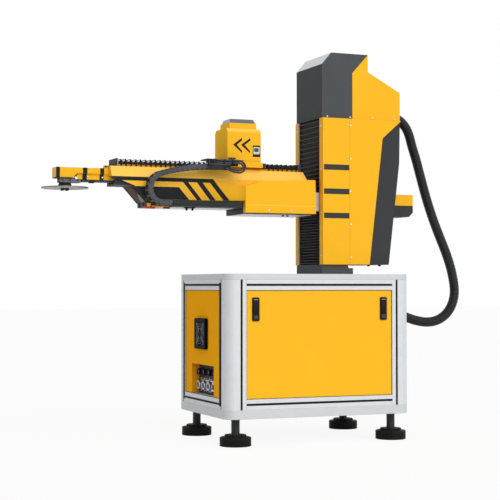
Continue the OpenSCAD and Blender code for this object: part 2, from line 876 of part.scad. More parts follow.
// Ring of points round one point of the hose, across the hose's direction there.
function hose_ring(i) =
    let (last = len(HOSE_ROUTE) - 1, here = HOSE_ROUTE[i],
        along = HOSE_ROUTE[min(i + 1, last)] - HOSE_ROUTE[max(i - 1, 0)],
        forward = i == 0 || i == last ? [i == 0 ? 1 : -1, 0, 0] : along / norm(along),
        across = cross(forward, [0, 1, 0]))
    [for (k = [0:HOSE_SIDES - 1]) let (a = 360 * k / HOSE_SIDES)
        here + hose_d / 2 * (cos(a) * [0, 1, 0] + sin(a) * across)];

module hose() {
    rings = len(HOSE_ROUTE);
    points = [for (i = [0:rings - 1]) each hose_ring(i)];
    sides = [for (i = [0:rings - 2], k = [0:HOSE_SIDES - 1])
        let (a = i * HOSE_SIDES + k, b = i * HOSE_SIDES + (k + 1) % HOSE_SIDES)
        [a, b, b + HOSE_SIDES, a + HOSE_SIDES]];
    first = [[for (k = [HOSE_SIDES - 1:-1:0]) k]];
    last = [[for (k = [0:HOSE_SIDES - 1]) (rings - 1) * HOSE_SIDES + k]];
    color(black) placed() polyhedron(points, concat(sides, first, last));
}

module hose_glands() {
    upper = HOSE_ROUTE[0];
    lower = HOSE_ROUTE[len(HOSE_ROUTE) - 1];
    panel_x = cab_w - panel_recess;
    color(black) placed() {
        translate([column_end, 0, upper.z]) rotate([0, 90, 0]) cylinder(d = gland_d, h = column_gland_len);
        translate([panel_x, 0, lower.z]) rotate([0, 90, 0]) cylinder(d = gland_d, h = lower.x - panel_x);
    }
}

// The carriage: a plate in front of the bellows, a neck between them and a block round each guide rail.
module carriage() {
    block_low = carriage_low + carriage_inset;
    block_high = carriage_high - carriage_inset;
    neck_y = carriage_w / 2 - carriage_inset;
    groove = guide_w / 2 + guide_gap;
    color(aluminium) placed() {
        block([carriage_x, -carriage_w / 2, carriage_low], [column_x, carriage_w / 2, carriage_high]);
        block([column_x, -neck_y, carriage_low], [neck_back_x, neck_y, carriage_high]);
        both_sides() difference() {
            block([neck_back_x, guide_y - guide_block_w / 2, block_low],
                [frame_x - block_gap, guide_y + guide_block_w / 2, block_high]);
            block([frame_x - guide_t - guide_gap, guide_y - groove, block_low - 1],
                [frame_x, guide_y + groove, block_high + 1]);
        }
    }
}

// The half of the housing on the front side, from the given X on, with the flare that runs out along
// the beam's side.
module housing_half(start) {
    fold_low = tail_low + housing_band_h;
    fold_high = housing_high - housing_lean_h;
    tray_high = base_low + tray_wall_h;
    corner_x = start + housing_lean;
    corner_z = housing_high - housing_corner_drop;
    section = [[-tray_y, tail_low], [-housing_y, tail_low], [-housing_y, fold_low],
        [housing_fold - housing_y, fold_low + housing_fold], [housing_fold - housing_y, fold_high],
        [2 * housing_fold - housing_y, housing_high], [-beam_y, housing_high], [-beam_y, tray_high],
        [-tray_y, tray_high]];
    outline = [[start, tail_low], [carriage_x, tail_low], [carriage_x, housing_high],
        [corner_x + housing_slope_len, housing_high - housing_fall], [corner_x, corner_z]];
    flare_from = corner_x - flare_len;
    flare = [for (i = [0:FLARE_STEPS]) let (s = i / FLARE_STEPS)
        [flare_from + s * (flare_len - flare_flat), -beam_y - s * s * (housing_y - beam_y - flare_step)]];
    flare_outline = [[flare_from, beam_low], [corner_x, beam_low], [corner_x, corner_z],
        [flare_from, beam_low + beam_side_h]];
    intersection() {
        end_profile(section, start, carriage_x);
        side_profile(outline, -housing_y, -beam_y);
    }
    intersection() {
        translate([0, 0, beam_low]) linear_extrude(beam_side_h)
            polygon(concat(flare, [[corner_x, -housing_y], [corner_x, -beam_y]]));
        side_profile(flare_outline, -housing_y, -beam_y);
    }
}

module housing_front() {
    color(yellow) placed() housing_half(housing_x);
}

module housing_rear() {
    color(yellow) placed() mirror([0, 1, 0]) housing_half(housing_x + housing_back_cut);
}

// The tray under the housing: a floor below the beam's base and a wall on each side of it.
module lift_tray() {
    low = base_low - tray_t;
    high = base_low + tray_wall_h;
    section = [[-tray_y, low], [tray_y, low], [tray_y, high], [beam_y, high], [beam_y, base_low],
        [-beam_y, base_low], [-beam_y, high], [-tray_y, high]];
    color(charcoal) placed() end_profile(section, housing_x + tray_inset, carriage_x);
}

// The shell of the beam, open along its top, with the rails that the motor box and the bellows ride on.
module beam_shell() {
    section = [[-beam_y, beam_low], [-beam_y, beam_low + beam_side_h], [-beam_rail_y, beam_high],
        [-beam_rail_y, rail_high], [-channel_y, rail_high], [-channel_y, channel_low],
        [channel_y, channel_low], [channel_y, rail_high], [beam_rail_y, rail_high],
        [beam_rail_y, beam_high], [beam_y, beam_low + beam_side_h], [beam_y, beam_low]];
    rail_x = front_plate_x + front_plate_t;
    back_x = carriage_x - beam_back_len;
    outline = concat([[-beam_front, beam_high]], front_edge, [[carriage_x, beam_low],
        [carriage_x, housing_high], [back_x, housing_high], [back_x, housing_high + beam_back_rise],
        [back_x - beam_back_slope, beam_high], [rear_plate_x, beam_high], [rear_plate_x, rail_high],
        [rail_x, rail_high], [rail_x, beam_high]]);
    color(yellow) placed() intersection() {
        end_profile(section, -beam_front, carriage_x);
        side_profile(outline, -beam_y, beam_y);
    }
}

module beam_base() {
    color(charcoal) placed() block([base_x, -beam_y, base_low], [carriage_x, beam_y, beam_low]);
}

// The dark nose under the beam's front end, cut away where the forearm slides.
module beam_nose() {
    underside = base_low + nose_rise;
    outline = concat([for (i = [1:5]) front_edge[i]], [[base_x, beam_low], [base_x, base_low],
        [base_x - nose_foot, base_low], [base_x - nose_foot, base_low + nose_face_h],
        [front_edge[3].x, underside], [front_edge[1].x, underside]]);
    color(charcoal) placed() difference() {
        side_profile(outline, -nose_w / 2, nose_w / 2);
        block([-beam_front, -channel_y, channel_low], [base_x, channel_y, beam_high]);
    }
}

module beam_tail_top() {
    color(yellow) placed()
        block([neck_back_x, -tail_w / 2, beam_low], [tail_end, tail_w / 2, beam_low + tail_top_h]);
}

module beam_tail_base() {
    outline = [[neck_back_x, tail_low], [tail_end - tail_bevel, tail_low], [tail_end, tail_low + tail_bevel],
        [tail_end, beam_low], [neck_back_x, beam_low]];
    color(charcoal) placed() side_profile(outline, -tail_w / 2, tail_w / 2);
}

// The tray beside the beam's base that the chain's lower run lies in.
module chain_tray() {
    x_from = chain_tray_inset - chain_bend;
    x_to = housing_x - chain_tray_gap;
    y = chain_front_y + chain_gap + chain_sheet_t;
    color(charcoal) placed() {
        block([x_from, -y, base_low], [x_to, -beam_y, base_low + chain_sheet_t]);
        block([x_from, -y, base_low], [x_to, chain_sheet_t - y, base_low + chain_tray_h]);
    }
}

// The chain: lower run, two bends and a curved upper run, in one outline of even thickness.
module drag_chain() {
    low_z = base_low + chain_sheet_t + chain_seat_gap + chain_h / 2;
    mid_z = low_z + chain_low_r;
    high_x = chain_high_r - chain_low_r - chain_bend;
    arc_end = 90 + chain_slope;
    half = chain_h / 2;
    sag_x = high_x + (chain_high_r - chain_sag_r) * cos(arc_end);
    sag_z = mid_z + (chain_high_r - chain_sag_r) * sin(arc_end);
    sag_end = acos((chain_high_end - sag_x) / chain_sag_r);
    function low_arc(r) = [for (a = [-90:-10:-180]) [r * cos(a) - chain_bend, mid_z + r * sin(a)]];
    function high_arc(r) = [for (i = [1:SAG_STEPS]) let (a = 180 - i * (180 - arc_end) / SAG_STEPS)
        [high_x + r * cos(a), mid_z + r * sin(a)]];
    function sag(r) = [for (i = [1:SAG_STEPS]) let (a = arc_end - i * (arc_end - sag_end) / SAG_STEPS)
        [sag_x + r * cos(a), sag_z + r * sin(a)]];
    function edge(out) = concat([[chain_low_end, low_z - out]], low_arc(chain_low_r + out),
        high_arc(chain_high_r + out), sag(chain_sag_r + out));
    inner = edge(-half);
    color(charcoal) placed() side_profile(
        concat(edge(half), [for (i = [len(inner) - 1:-1:0]) inner[i]]), -chain_front_y, -chain_back_y);
}

// The supports of the arm's bellows at the two ends of the beam.
module bellows_end_plates() {
    y = beam_rail_y;
    color(charcoal) placed() {
        block([front_plate_x, -y, beam_high], [front_plate_x + front_plate_t, y, bellows_high]);
        block([rear_plate_x, -y, beam_high], [rear_plate_x + rear_plate_t, y, bellows_high]);
    }
}

// The frame behind the motor box that the short bellows hang from.
module bellows_frame() {
    color(charcoal) placed() block([bellows_frame_x, -beam_rail_y, motor_low],
        [bellows_frame_x + bellows_frame_len, beam_rail_y, bellows_high]);
}

// Folded bellows on top of the beam, from one X to another.
module arm_bellows(x_from, x_to, folds) {
    pitch = (x_to - x_from) / folds;
    low = rail_high + arm_bellows_gap;
    valley = bellows_high - fold_depth;
    ridge = [for (i = [0:folds - 1]) each
        [[x_from + i * pitch, valley], [x_from + (i + 0.5) * pitch, bellows_high]]];
    color(black) placed() side_profile(concat([[x_from, low]], ridge, [[x_to, valley], [x_to, low]]),
        -arm_bellows_w / 2, arm_bellows_w / 2);
}

module arm_bellows_front() {
    arm_bellows(front_plate_x + front_plate_t, motor_x, arm_folds);
}

module arm_bellows_rear() {
    arm_bellows(bellows_frame_x + bellows_frame_len, rear_plate_x, short_folds);
}

// The box over the traverse motor: bevelled shoulders, a neck, a flange behind it and a foot that goes
// through the beam's slot to the forearm.
module motor_box() {
    y = motor_w / 2;
    neck_y = y - neck_side_inset;
    foot_y = forearm_w / 2 - forearm_gap;
    shoulder_low = motor_low + motor_h;
    shoulder_high = shoulder_low + shoulder_h;
    end = [[-y, motor_low], [y, motor_low], [y, shoulder_low], [y - shoulder_w, shoulder_high],
        [shoulder_w - y, shoulder_high], [-y, shoulder_low]];
    color(yellow) placed() difference() {
        union() {
            end_profile(end, motor_x, motor_end);
            block([motor_x + neck_front_inset, -neck_y, shoulder_low],
                [motor_end - neck_back_inset, neck_y, shoulder_high + neck_h]);
            block([motor_end - 1, -y, motor_low], [bellows_frame_x, y, motor_low + motor_flange_h]);
            block([motor_x + motor_foot_inset, -foot_y, forearm_high],
                [motor_end - motor_foot_inset, foot_y, motor_low + 1]);
        }
        block([motor_end - window_edge - window_w, -y - 1, motor_low + window_rise],
            [motor_end - window_edge, window_depth - y, motor_low + window_rise + window_h]);
    }
}

module motor_cap() {
    low = motor_low + motor_h + shoulder_h + neck_h;
    high = low + motor_cap_h;
    x_from = motor_x + neck_front_inset + motor_cap_inset;
    x_to = motor_end - neck_back_inset - motor_cap_inset;
    y = motor_w / 2 - neck_side_inset - motor_cap_inset;
    top_y = y - motor_cap_side_slope;
    color(steel) placed() intersection() {
        side_profile([[x_from, low], [x_to, low], [x_to - motor_cap_end_slope, high],
            [x_from + motor_cap_end_slope, high]], -y, y);
        end_profile([[-y, low], [y, low], [top_y, high], [-top_y, high]], x_from, x_to);
    }
}

module display() {
    x_to = motor_end - window_edge;
    z = motor_low + window_rise;
    y = motor_w / 2;
    color(aluminium) placed() block([x_to - window_w + display_edge, display_sink - y, z + display_edge],
        [x_to - display_edge, window_depth - y, z + window_h - display_edge]);
}

// The bracket on the motor box that reaches out over the chain, with a skirt in front of the chain.
module chain_bracket() {
    y = motor_w / 2;
    skirt_y = chain_front_y + chain_gap;
    plate_low = bracket_high - bracket_t;
    skirt_end = skirt_len - skirt_x;
    skirt = [[-skirt_x, plate_low - skirt_h], [skirt_end - skirt_cut, plate_low - skirt_h],
        [skirt_end, plate_low - skirt_h + skirt_cut], [skirt_end, bracket_high], [-skirt_x, bracket_high]];
    color(charcoal) placed() {
        block([motor_x - bracket_front, -skirt_y - skirt_t, plate_low],
            [motor_x + bracket_side, -y, bracket_high]);
        block([motor_x, -y - chain_sheet_t, motor_low + chain_sheet_t], [motor_x + bracket_side, -y, bracket_high]);
        side_profile(skirt, -skirt_y - skirt_t, -skirt_y);
    }
}

// The two cables that loop in front of the chain bracket, with the clips that hold their ends.
module cable_loop() {
    z = bracket_high - cable_drop;
    back_y = chain_front_y + chain_gap + skirt_t;
    low_x = cable_bend - cable_low_len;
    high_x = cable_bend - cable_high_len;
    front_y = back_y + cable_d + clip_t;
    outer = cable_r + cable_pitch + cable_d / 2;
    inner = cable_r - cable_d / 2;
    color(black) placed() {
        translate([cable_bend, -back_y - cable_d / 2, z]) for (r = [cable_r, cable_r + cable_pitch]) {
            rotate([90, 0, 0]) rotate([0, 0, -90]) rotate_extrude(angle = 180)
                translate([r, 0]) circle(d = cable_d);
            translate([0, 0, r]) rotate([0, -90, 0]) cylinder(d = cable_d, h = cable_high_len);
            translate([0, 0, -r]) rotate([0, -90, 0]) cylinder(d = cable_d, h = cable_low_len);
        }
        block([high_x, -front_y, z + inner], [high_x + clip_len, -back_y, z + outer]);
        block([low_x, -front_y, z - outer], [low_x + clip_t * 4, -back_y, z - inner]);
    }
}

module forearm() {
    upper = forearm_w / 2;
    lower = keel_w / 2;
    step = forearm_high - forearm_h;
    section = [[-upper, forearm_high], [-upper, step], [-lower, step - keel_slope_h], [-lower, keel_low],
        [lower, keel_low], [lower, step - keel_slope_h], [upper, step], [upper, forearm_high]];
    tip = [[-tip_x, forearm_high], [-tip_x, tip_low], [tip_end - tip_cut, tip_low], [tip_end, step],
        [tip_end, forearm_high]];
    color(yellow) placed() {
        side_profile(tip, -upper, upper);
        end_profile(section, tip_end, motor_x + forearm_back);
    }
}

module forearm_strip() {
    color(charcoal) placed() block([tip_end + strip_inset, -strip_w / 2, strip_low],
        [motor_x + forearm_back, strip_w / 2, keel_low]);
}

// The bracket under the forearm's tip that the hub hangs from.
module tool_bracket() {
    x_from = bracket_inset - tip_x;
    x_to = x_from + bracket_len;
    outline = [[x_from, hub_high], [x_to, hub_high], [x_to, keel_low], [tip_end, keel_low],
        [tip_end, tip_low], [x_from, tip_low]];
    color(steel) placed() side_profile(outline, -bracket_w / 2, bracket_w / 2);
}

module tool_hub() {
    color(black) placed() translate([disc_x, 0, hub_low]) difference() {
        cylinder(d1 = hub_base_d, d2 = hub_top_d, h = hub_h);
        translate([0, 0, -1]) cylinder(d = shaft_d + 2 * shaft_gap, h = shaft_len + 2);
    }
}

module tool_disc() {
    color(steel) placed() translate([disc_x, 0, disc_high - disc_t]) {
        difference() {
            cylinder(d = disc_d, h = disc_t);
            for (i = [0:bolt_count - 1]) {
                rotate([0, 0, (i + 0.5) * 360 / bolt_count]) translate([bolt_circle_d / 2, 0, -1])
                    cylinder(d = bolt_hole_d, h = disc_t + 2);
            }
        }
        translate([0, 0, disc_t]) cylinder(d = shaft_d, h = shaft_len);
    }
}

bottom_plate();
top_plate();
corner_posts();
rails();
front_panel();
rear_panel();
left_panel();
right_panel();
latches();
fan_guard();
connector_bay();
upper_connectors();
lower_connectors();
foot_pads();
foot_studs();
pedestal();
column_frame();
guide_rails();
side_cover_front();
side_cover_rear();
column_cap();
rear_cover_upper();
rear_cover_lower();
column_bellows_upper();
column_bellows_lower();
hose();
hose_glands();
carriage();
housing_front();
housing_rear();
lift_tray();
beam_shell();
beam_base();
beam_nose();
beam_tail_top();
beam_tail_base();
chain_tray();
bellows_end_plates();
bellows_frame();
arm_bellows_front();
arm_bellows_rear();
drag_chain();
motor_box();
motor_cap();
display();
chain_bracket();
cable_loop();
forearm();
forearm_strip();
tool_bracket();
tool_hub();
tool_disc();
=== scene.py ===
import bpy
import bmesh
import json
import random
from math import acos, cos, hypot, pi, radians, sin
from mathutils import Matrix, Vector


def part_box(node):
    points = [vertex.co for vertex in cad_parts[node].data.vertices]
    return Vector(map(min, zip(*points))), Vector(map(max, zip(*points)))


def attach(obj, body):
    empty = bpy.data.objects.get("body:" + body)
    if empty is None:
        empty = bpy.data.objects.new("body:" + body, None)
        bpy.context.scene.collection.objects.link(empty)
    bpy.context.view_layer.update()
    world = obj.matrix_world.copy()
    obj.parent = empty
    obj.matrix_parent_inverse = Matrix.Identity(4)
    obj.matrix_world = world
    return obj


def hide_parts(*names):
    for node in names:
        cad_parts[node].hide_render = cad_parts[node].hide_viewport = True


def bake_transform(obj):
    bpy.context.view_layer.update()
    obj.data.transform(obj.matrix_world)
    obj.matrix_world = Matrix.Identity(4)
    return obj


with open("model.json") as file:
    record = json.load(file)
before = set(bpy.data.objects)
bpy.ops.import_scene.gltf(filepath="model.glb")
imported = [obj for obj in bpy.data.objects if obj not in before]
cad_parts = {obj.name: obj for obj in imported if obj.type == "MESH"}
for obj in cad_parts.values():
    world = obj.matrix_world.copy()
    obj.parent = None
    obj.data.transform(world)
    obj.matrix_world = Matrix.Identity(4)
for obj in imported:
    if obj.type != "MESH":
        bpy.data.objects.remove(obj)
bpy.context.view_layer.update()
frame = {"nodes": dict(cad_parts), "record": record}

# ---------------------------------------------------------------- places
# Millimetres: x from the cabinet's left face, y from the middle plane, z from the floor.
CAB_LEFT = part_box("top_plate")[0].x


def to_row(place):
    """A place in this script's millimetres, in the frame's metres."""
    return Vector((CAB_LEFT + place[0] / 1000, place[1] / 1000, place[2] / 1000))


def span(node):
    """The low and the high corner of a CAD node's box."""
    low, high = (corner * 1000 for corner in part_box(node))
    low.x -= CAB_LEFT * 1000
    high.x -= CAB_LEFT * 1000
    return low, high


ORIGIN = to_row((0, 0, 0))
PLATE_LO, PLATE_HI = span("bottom_plate")
TOP_LO, TOP_HI = span("top_plate")
CAB_W, CAB_Y = TOP_HI.x, TOP_HI.y
COVER_LO, COVER_HI = span("side_cover_front")
CAP_HI = span("column_cap")[1]
SHELL_LO, SHELL_HI = span("beam_shell")
BASE_LO = span("beam_base")[0]
TRAY_LO = span("lift_tray")[0]
HOUSE_LO, HOUSE_HI = span("housing_front")
CARRIAGE_LO, CARRIAGE_HI = span("carriage")
MOTOR_LO, MOTOR_HI = span("motor_box")
MOTOR_CAP_LO, MOTOR_CAP_HI = span("motor_cap")
ARM_LO, ARM_HI = span("forearm")
DISC_LO, DISC_HI = span("tool_disc")
HUB_LO, HUB_HI = span("tool_hub")
PANEL_LO, PANEL_HI = span("front_panel")
CHAIN_LO, CHAIN_HI = span("drag_chain")
BEAM_Y = SHELL_HI.y

# ---------------------------------------------------------------- camera
scene = bpy.context.scene
camera_data = bpy.data.cameras.new("photo_camera")
camera_data.lens = 98.32
camera_data.sensor_width = 36.0
camera = bpy.data.objects.new("photo_camera", camera_data)
camera.location = (-1.9863, -5.0059, 0.6025)
camera.rotation_euler = (radians(91.501), 0.0, radians(-22.305))
scene.collection.objects.link(camera)
scene.camera = camera


# ---------------------------------------------------------------- materials
def linear(hex_code):
    """The linear colour of an #RRGGBB code."""
    values = [int(hex_code[i:i + 2], 16) / 255 for i in (1, 3, 5)]
    return [v / 12.92 if v <= 0.04045 else ((v + 0.055) / 1.055) ** 2.4 for v in values]


def shade(colour, k):
    return [min(1.0, c * k) for c in colour]


class Nodes:
    """A material's node tree, with short calls for the nodes used here."""

    def __init__(self, name):
        self.material = bpy.data.materials.new(name)
        self.material.use_nodes = True
        self.tree = self.material.node_tree
        self.bsdf = self.tree.nodes["Principled BSDF"]
        self.coords = self.tree.nodes.new("ShaderNodeTexCoord")

    def link(self, a, b):
        self.tree.links.new(a, b)

    def place(self, stretch=(1, 1, 1), offset=(0, 0, 0)):
        node = self.tree.nodes.new("ShaderNodeMapping")
        node.inputs["Scale"].default_value = stretch
        node.inputs["Location"].default_value = offset
        self.link(self.coords.outputs["Object"], node.inputs["Vector"])
        return node.outputs[0]

    def noise(self, size_mm, vector, detail=2.0, rough=0.5):
        node = self.tree.nodes.new("ShaderNodeTexNoise")
        node.inputs["Scale"].default_value = 1000 / size_mm
        node.inputs["Detail"].default_value = detail
        node.inputs["Roughness"].default_value = rough
        self.link(vector, node.inputs["Vector"])
        return node.outputs["Fac"]

    def wave(self, pitch_mm, vector, direction, distort=0.0, rings=False):
        node = self.tree.nodes.new("ShaderNodeTexWave")
        node.wave_type = "RINGS" if rings else "BANDS"
        if rings:
            node.rings_direction = direction
        else:
            node.bands_direction = direction
        # One wave of Blender's texture is pi / 10 units long at scale 1.
        node.inputs["Scale"].default_value = pi / 10 * 1000 / pitch_mm
        node.inputs["Distortion"].default_value = distort
        self.link(vector, node.inputs["Vector"])
        return node.outputs["Fac"]

    def ramp(self, value, low, high, a, b):
        """Maps value from low..high to a..b, clamped."""
        node = self.tree.nodes.new("ShaderNodeMapRange")
        for key, x in zip(("From Min", "From Max", "To Min", "To Max"), (low, high, a, b)):
            node.inputs[key].default_value = x
        self.link(value, node.inputs["Value"])
        return node.outputs["Result"]

    def mix(self, factor, a, b):
        """Colour mix; a and b are colours or sockets."""
        node = self.tree.nodes.new("ShaderNodeMix")
        node.data_type = "RGBA"
        self.link(factor, node.inputs["Factor"])
        for key, c in (("A", a), ("B", b)):
            socket = [s for s in node.inputs if s.name == key and s.type == "RGBA"][0]
            if isinstance(c, bpy.types.NodeSocket):
                self.link(c, socket)
            else:
                socket.default_value = (*c, 1)
        return [s for s in node.outputs if s.type == "RGBA"][0]

    def drifting(self, value, base, drift, low=0.3, high=0.7):
        """The base colour, from a little darker to a little lighter as value goes from low to high."""
        return self.mix(self.ramp(value, low, high, 0, 1), shade(base, 1 - drift), shade(base, 1 + drift))

    def maths(self, operation, a, b):
        node = self.tree.nodes.new("ShaderNodeMath")
        node.operation = operation
        for i, x in enumerate((a, b)):
            if isinstance(x, bpy.types.NodeSocket):
                self.link(x, node.inputs[i])
            else:
                node.inputs[i].default_value = x
        return node.outputs[0]

    def bump(self, height, depth_mm, strength=1.0, under=None):
        node = self.tree.nodes.new("ShaderNodeBump")
        node.inputs["Strength"].default_value = strength
        node.inputs["Distance"].default_value = depth_mm / 1000
        self.link(height, node.inputs["Height"])
        if under is not None:
            self.link(under, node.inputs["Normal"])
        return node.outputs[0]

    def finish(self, colour, rough, normal, metallic=0.0, spec=0.5):
        for key, socket in (("Base Color", colour), ("Roughness", rough), ("Normal", normal)):
            self.link(socket, self.bsdf.inputs[key])
        self.bsdf.inputs["Metallic"].default_value = metallic
        self.bsdf.inputs["Specular IOR Level"].default_value = spec
        return self.material


def painted(name, code, rough, drift=0.03, grain=0.9, depth=0.03, metallic=0.0, spec=0.5):
    """Powder coat: orange-peel grain, a slow drift of the colour and a fine speckle in the gloss."""
    n = Nodes(name)
    base = linear(code)
    colour = n.drifting(n.noise(140, n.place(), 3.0), base, drift)
    speck = n.ramp(n.noise(0.6, n.place((1, 1, 1), (3, 1, 2)), 1.0), 0.62, 0.75, 0, 0.25)
    colour = n.mix(speck, colour, shade(base, 0.82))
    gloss = n.ramp(n.noise(6, n.place((1, 1, 1), (1, 5, 2)), 4.0), 0.25, 0.75, rough - 0.05, rough + 0.06)
    peel = n.bump(n.noise(grain, n.place(), 2.0), depth)
    wavy = n.bump(n.noise(22, n.place(), 1.0), 0.12, 0.35, peel)
    return n.finish(colour, gloss, wavy, metallic, spec)


def brushed(name, code, rough, along, metallic=1.0):
    """Drawn or ground metal: fine lines along one axis over a soft mottling."""
    n = Nodes(name)
    base = linear(code)
    stretch = [1.0, 1.0, 1.0]
    stretch["XYZ".index(along)] = 0.02
    lines = n.noise(0.5, n.place(stretch), 3.0, 0.6)
    mottle = n.noise(45, n.place(), 4.0)
    colour = n.drifting(lines, base, 0.05, 0.25, 0.75)
    colour = n.mix(n.ramp(mottle, 0.45, 0.7, 0, 0.35), colour, shade(base, 0.9))
    gloss = n.ramp(lines, 0.3, 0.7, rough - 0.07, rough + 0.07)
    return n.finish(colour, gloss, n.bump(lines, 0.012), metallic)


def moulded(name, code, rough, grain=0.7, depth=0.03, drift=0.10, spec=0.5):
    """Moulded plastic or rubber: a spark-eroded grain and slight shading."""
    n = Nodes(name)
    base = linear(code)
    fine = n.noise(grain, n.place(), 2.0, 0.7)
    colour = n.drifting(n.noise(60, n.place(), 3.0), base, drift)
    colour = n.mix(n.ramp(fine, 0.55, 0.8, 0, 0.4), colour, shade(base, 1.5))
    gloss = n.ramp(n.noise(9, n.place(), 4.0), 0.3, 0.7, rough - 0.06, rough + 0.08)
    return n.finish(colour, gloss, n.bump(fine, depth), spec=spec)


def fabric(name, code, rough):
    """Coated bellows cloth: a fine plain weave under a satin coat, paler where dust settles."""
    n = Nodes(name)
    base = linear(code)
    place = n.place()
    warp, weft, fill = (n.wave(1.1, place, axis, 0.3) for axis in "XYZ")
    cloth = n.maths("MAXIMUM", n.maths("MULTIPLY", warp, weft), n.maths("MULTIPLY", fill, 0.8))
    dusty = n.ramp(n.noise(18, n.place(), 5.0, 0.6), 0.5, 0.8, 0, 0.22)
    colour = n.mix(dusty, base, shade([c + 0.01 for c in base], 1.8))
    colour = n.mix(n.ramp(cloth, 0.2, 1, 0, 0.3), colour, shade(base, 1.9))
    gloss = n.ramp(cloth, 0, 1, rough + 0.08, rough - 0.08)
    return n.finish(colour, gloss, n.bump(cloth, 0.12, 0.6), spec=0.15)


def turned(name, code, rough, centre):
    """A faced steel disc: fine rings round a vertical axis, over smears of handling."""
    n = Nodes(name)
    base = linear(code)
    place = n.place((1, 1, 1), [-c for c in centre])
    rings = n.wave(0.9, place, "Z", 0.6, rings=True)
    smear = n.noise(30, place, 5.0, 0.6)
    colour = n.mix(n.ramp(rings, 0, 1, 0, 0.6), shade(base, 1.06), shade(base, 0.86))
    colour = n.mix(n.ramp(smear, 0.45, 0.75, 0, 0.5), colour, shade(base, 0.7))
    gloss = n.ramp(smear, 0.3, 0.7, rough - 0.08, rough + 0.1)
    return n.finish(colour, gloss, n.bump(rings, 0.015, 0.6), 1.0)


def yellow_coat(name, code="#F7B824", rough=0.36, spec=0.06):
    return painted(name, code, rough, 0.015, spec=spec)


def dark_coat(name, code, rough=0.48, drift=0.05, spec=0.08):
    return painted(name, code, rough, drift, 0.8, 0.04, spec=spec)


def chain_plastic(name, code):
    return moulded(name, code, 0.5, 1.0, 0.05, 0.2, spec=0.12)


YELLOW = yellow_coat("yellow_powder_coat")
BEAM_YELLOW = yellow_coat("yellow_beam_coat", spec=0.22)
# Painted shade: a deeper, more orange copy of the yellow for the left panel, which faces -X.
SHADED_LEFT_YELLOW = yellow_coat("yellow_painted_shade_left_faces", "#F9AE1C", 0.4, 0.0)
# Painted light: a lighter copy of the yellow for the motor box's faces turned to -X.
MOTOR_LEFT_LIT_YELLOW = yellow_coat("yellow_motor_left_painted_light", "#FFC43C", 0.4, 0.0)
# Painted highlight: a paler copy of the yellow for upward slopes that catch the light.
HIGHLIGHT_YELLOW = yellow_coat("yellow_painted_highlight_slopes", "#FFC850", spec=0.2)
# Painted shade: a deeper yellow for the bay's recess and the base's edge strip under the chain.
SHADE_DEEP_YELLOW = painted("yellow_painted_shade_inside", "#EC9E12", 0.42, spec=0.06)
# Painted shade: a brown-orange yellow for the rail's sides under the bellows.
RAIL_SHADE_YELLOW = painted("rail_side_painted_shade", "#BC780A", 0.5, spec=0.05)
CHARCOAL = dark_coat("charcoal_powder_coat", "#4D5052", 0.5, 0.04)
# Painted shade: a darker charcoal for the cap's face turned to -X.
CAP_LEFT_SHADE = dark_coat("charcoal_cap_painted_shade", "#424547", 0.5, 0.04, 0.06)
# Painted highlight: a lighter grey for the lips along the chain bracket's edges.
EDGE_HIGHLIGHT_GREY = painted("bracket_lip_painted_highlight", "#64676B", 0.45, 0.04, spec=0.25)
DARK = dark_coat("dark_powder_coat", "#3B3C3E")
COATED = dark_coat("bracket_powder_coat", "#2F3031")
DECAL = painted("dark_stripe_paint", "#242629", 0.42, 0.04, 1.4, 0.01, spec=0.06)
ALU_X, ALU_Y, ALU_Z = (brushed("anodised_aluminium_" + a.lower(), "#D1D4D7", 0.45, a, 0.12) for a in "XYZ")
CAST = painted("silver_plate_coat", "#C6CACD", 0.45, 0.02, 1.2, 0.03, 0.1)
CAP_GREY = moulded("motor_cap_plastic", "#5E626C", 0.32, drift=0.05, spec=0.45)
# Painted reflection: a light grey copy of the cap plastic for its left upper slopes.
CAP_REFLECTION_GREY = moulded("motor_cap_painted_reflection", "#A2A5AB", 0.32, drift=0.05, spec=0.45)
STEEL = brushed("ground_steel", "#62605C", 0.38, "Y", 0.5)
SCREW = brushed("zinc_plated_screws", "#D5D7DA", 0.3, "X")
GREY = moulded("grey_plastic", "#8B8F99", 0.45, drift=0.05)
PALE = painted("pale_grey_panel", "#DBDFE4", 0.35, 0.02, spec=0.3)
BLACK = moulded("black_plastic", "#1C1D1F", 0.42, spec=0.08)
FAN_BLACK = moulded("fan_plastic", "#0B0B0D", 0.5, drift=0.05, spec=0.03)
LINK = chain_plastic("chain_link_plastic", "#4E5053")
INNER_LINK = chain_plastic("chain_inner_plastic", "#424447")
HOSE = moulded("hose_plastic", "#262729", 0.38, 0.8, 0.03, 0.12, spec=0.22)
RUBBER = moulded("black_rubber", "#1C1B1A", 0.55, 1.1, 0.06, 0.15, spec=0.08)
METAL = brushed("blackened_steel", "#2E2F31", 0.45, "Z", 0.6)
CABLE = moulded("cable_jacket", "#1A1B1E", 0.3, 1.2, 0.02)
CLOTH = fabric("bellows_cloth", "#141413", 0.55)
# Painted highlight: a grey line on each ridge of the column's bellows.
RIDGE_HIGHLIGHT = moulded("bellows_ridge_painted_highlight", "#4C4E51", 0.4, spec=0.3)
# Painted glints: near-white plates on the front bellows' folds stand in for highlights.
GLINT_WHITE = painted("bellows_painted_glint", "#F0F2F4", 0.28, 0.04, 2.0, 0.05, 0.5)
TOOL_STEEL = brushed("tool_bracket_steel", "#5A5A58", 0.42, "X", 0.8)
GUARD = brushed("fan_guard_wire", "#83868A", 0.4, "X", 0.4)
BRONZE = painted("bronze_guide", "#4E2C0E", 0.5, 0.06, spec=0.06)
CRIMSON = painted("crimson_stop", "#B8334A", 0.5)
SCREEN = painted("grey_screen", "#4C4E50", 0.25, 0.06, spec=0.3)
WHITE = moulded("white_bezel", "#E4E6EA", 0.4, drift=0.02)
DISC = turned("faced_disc", "#83827C", 0.4, to_row(((DISC_LO.x + DISC_HI.x) / 2, 0, 0)))


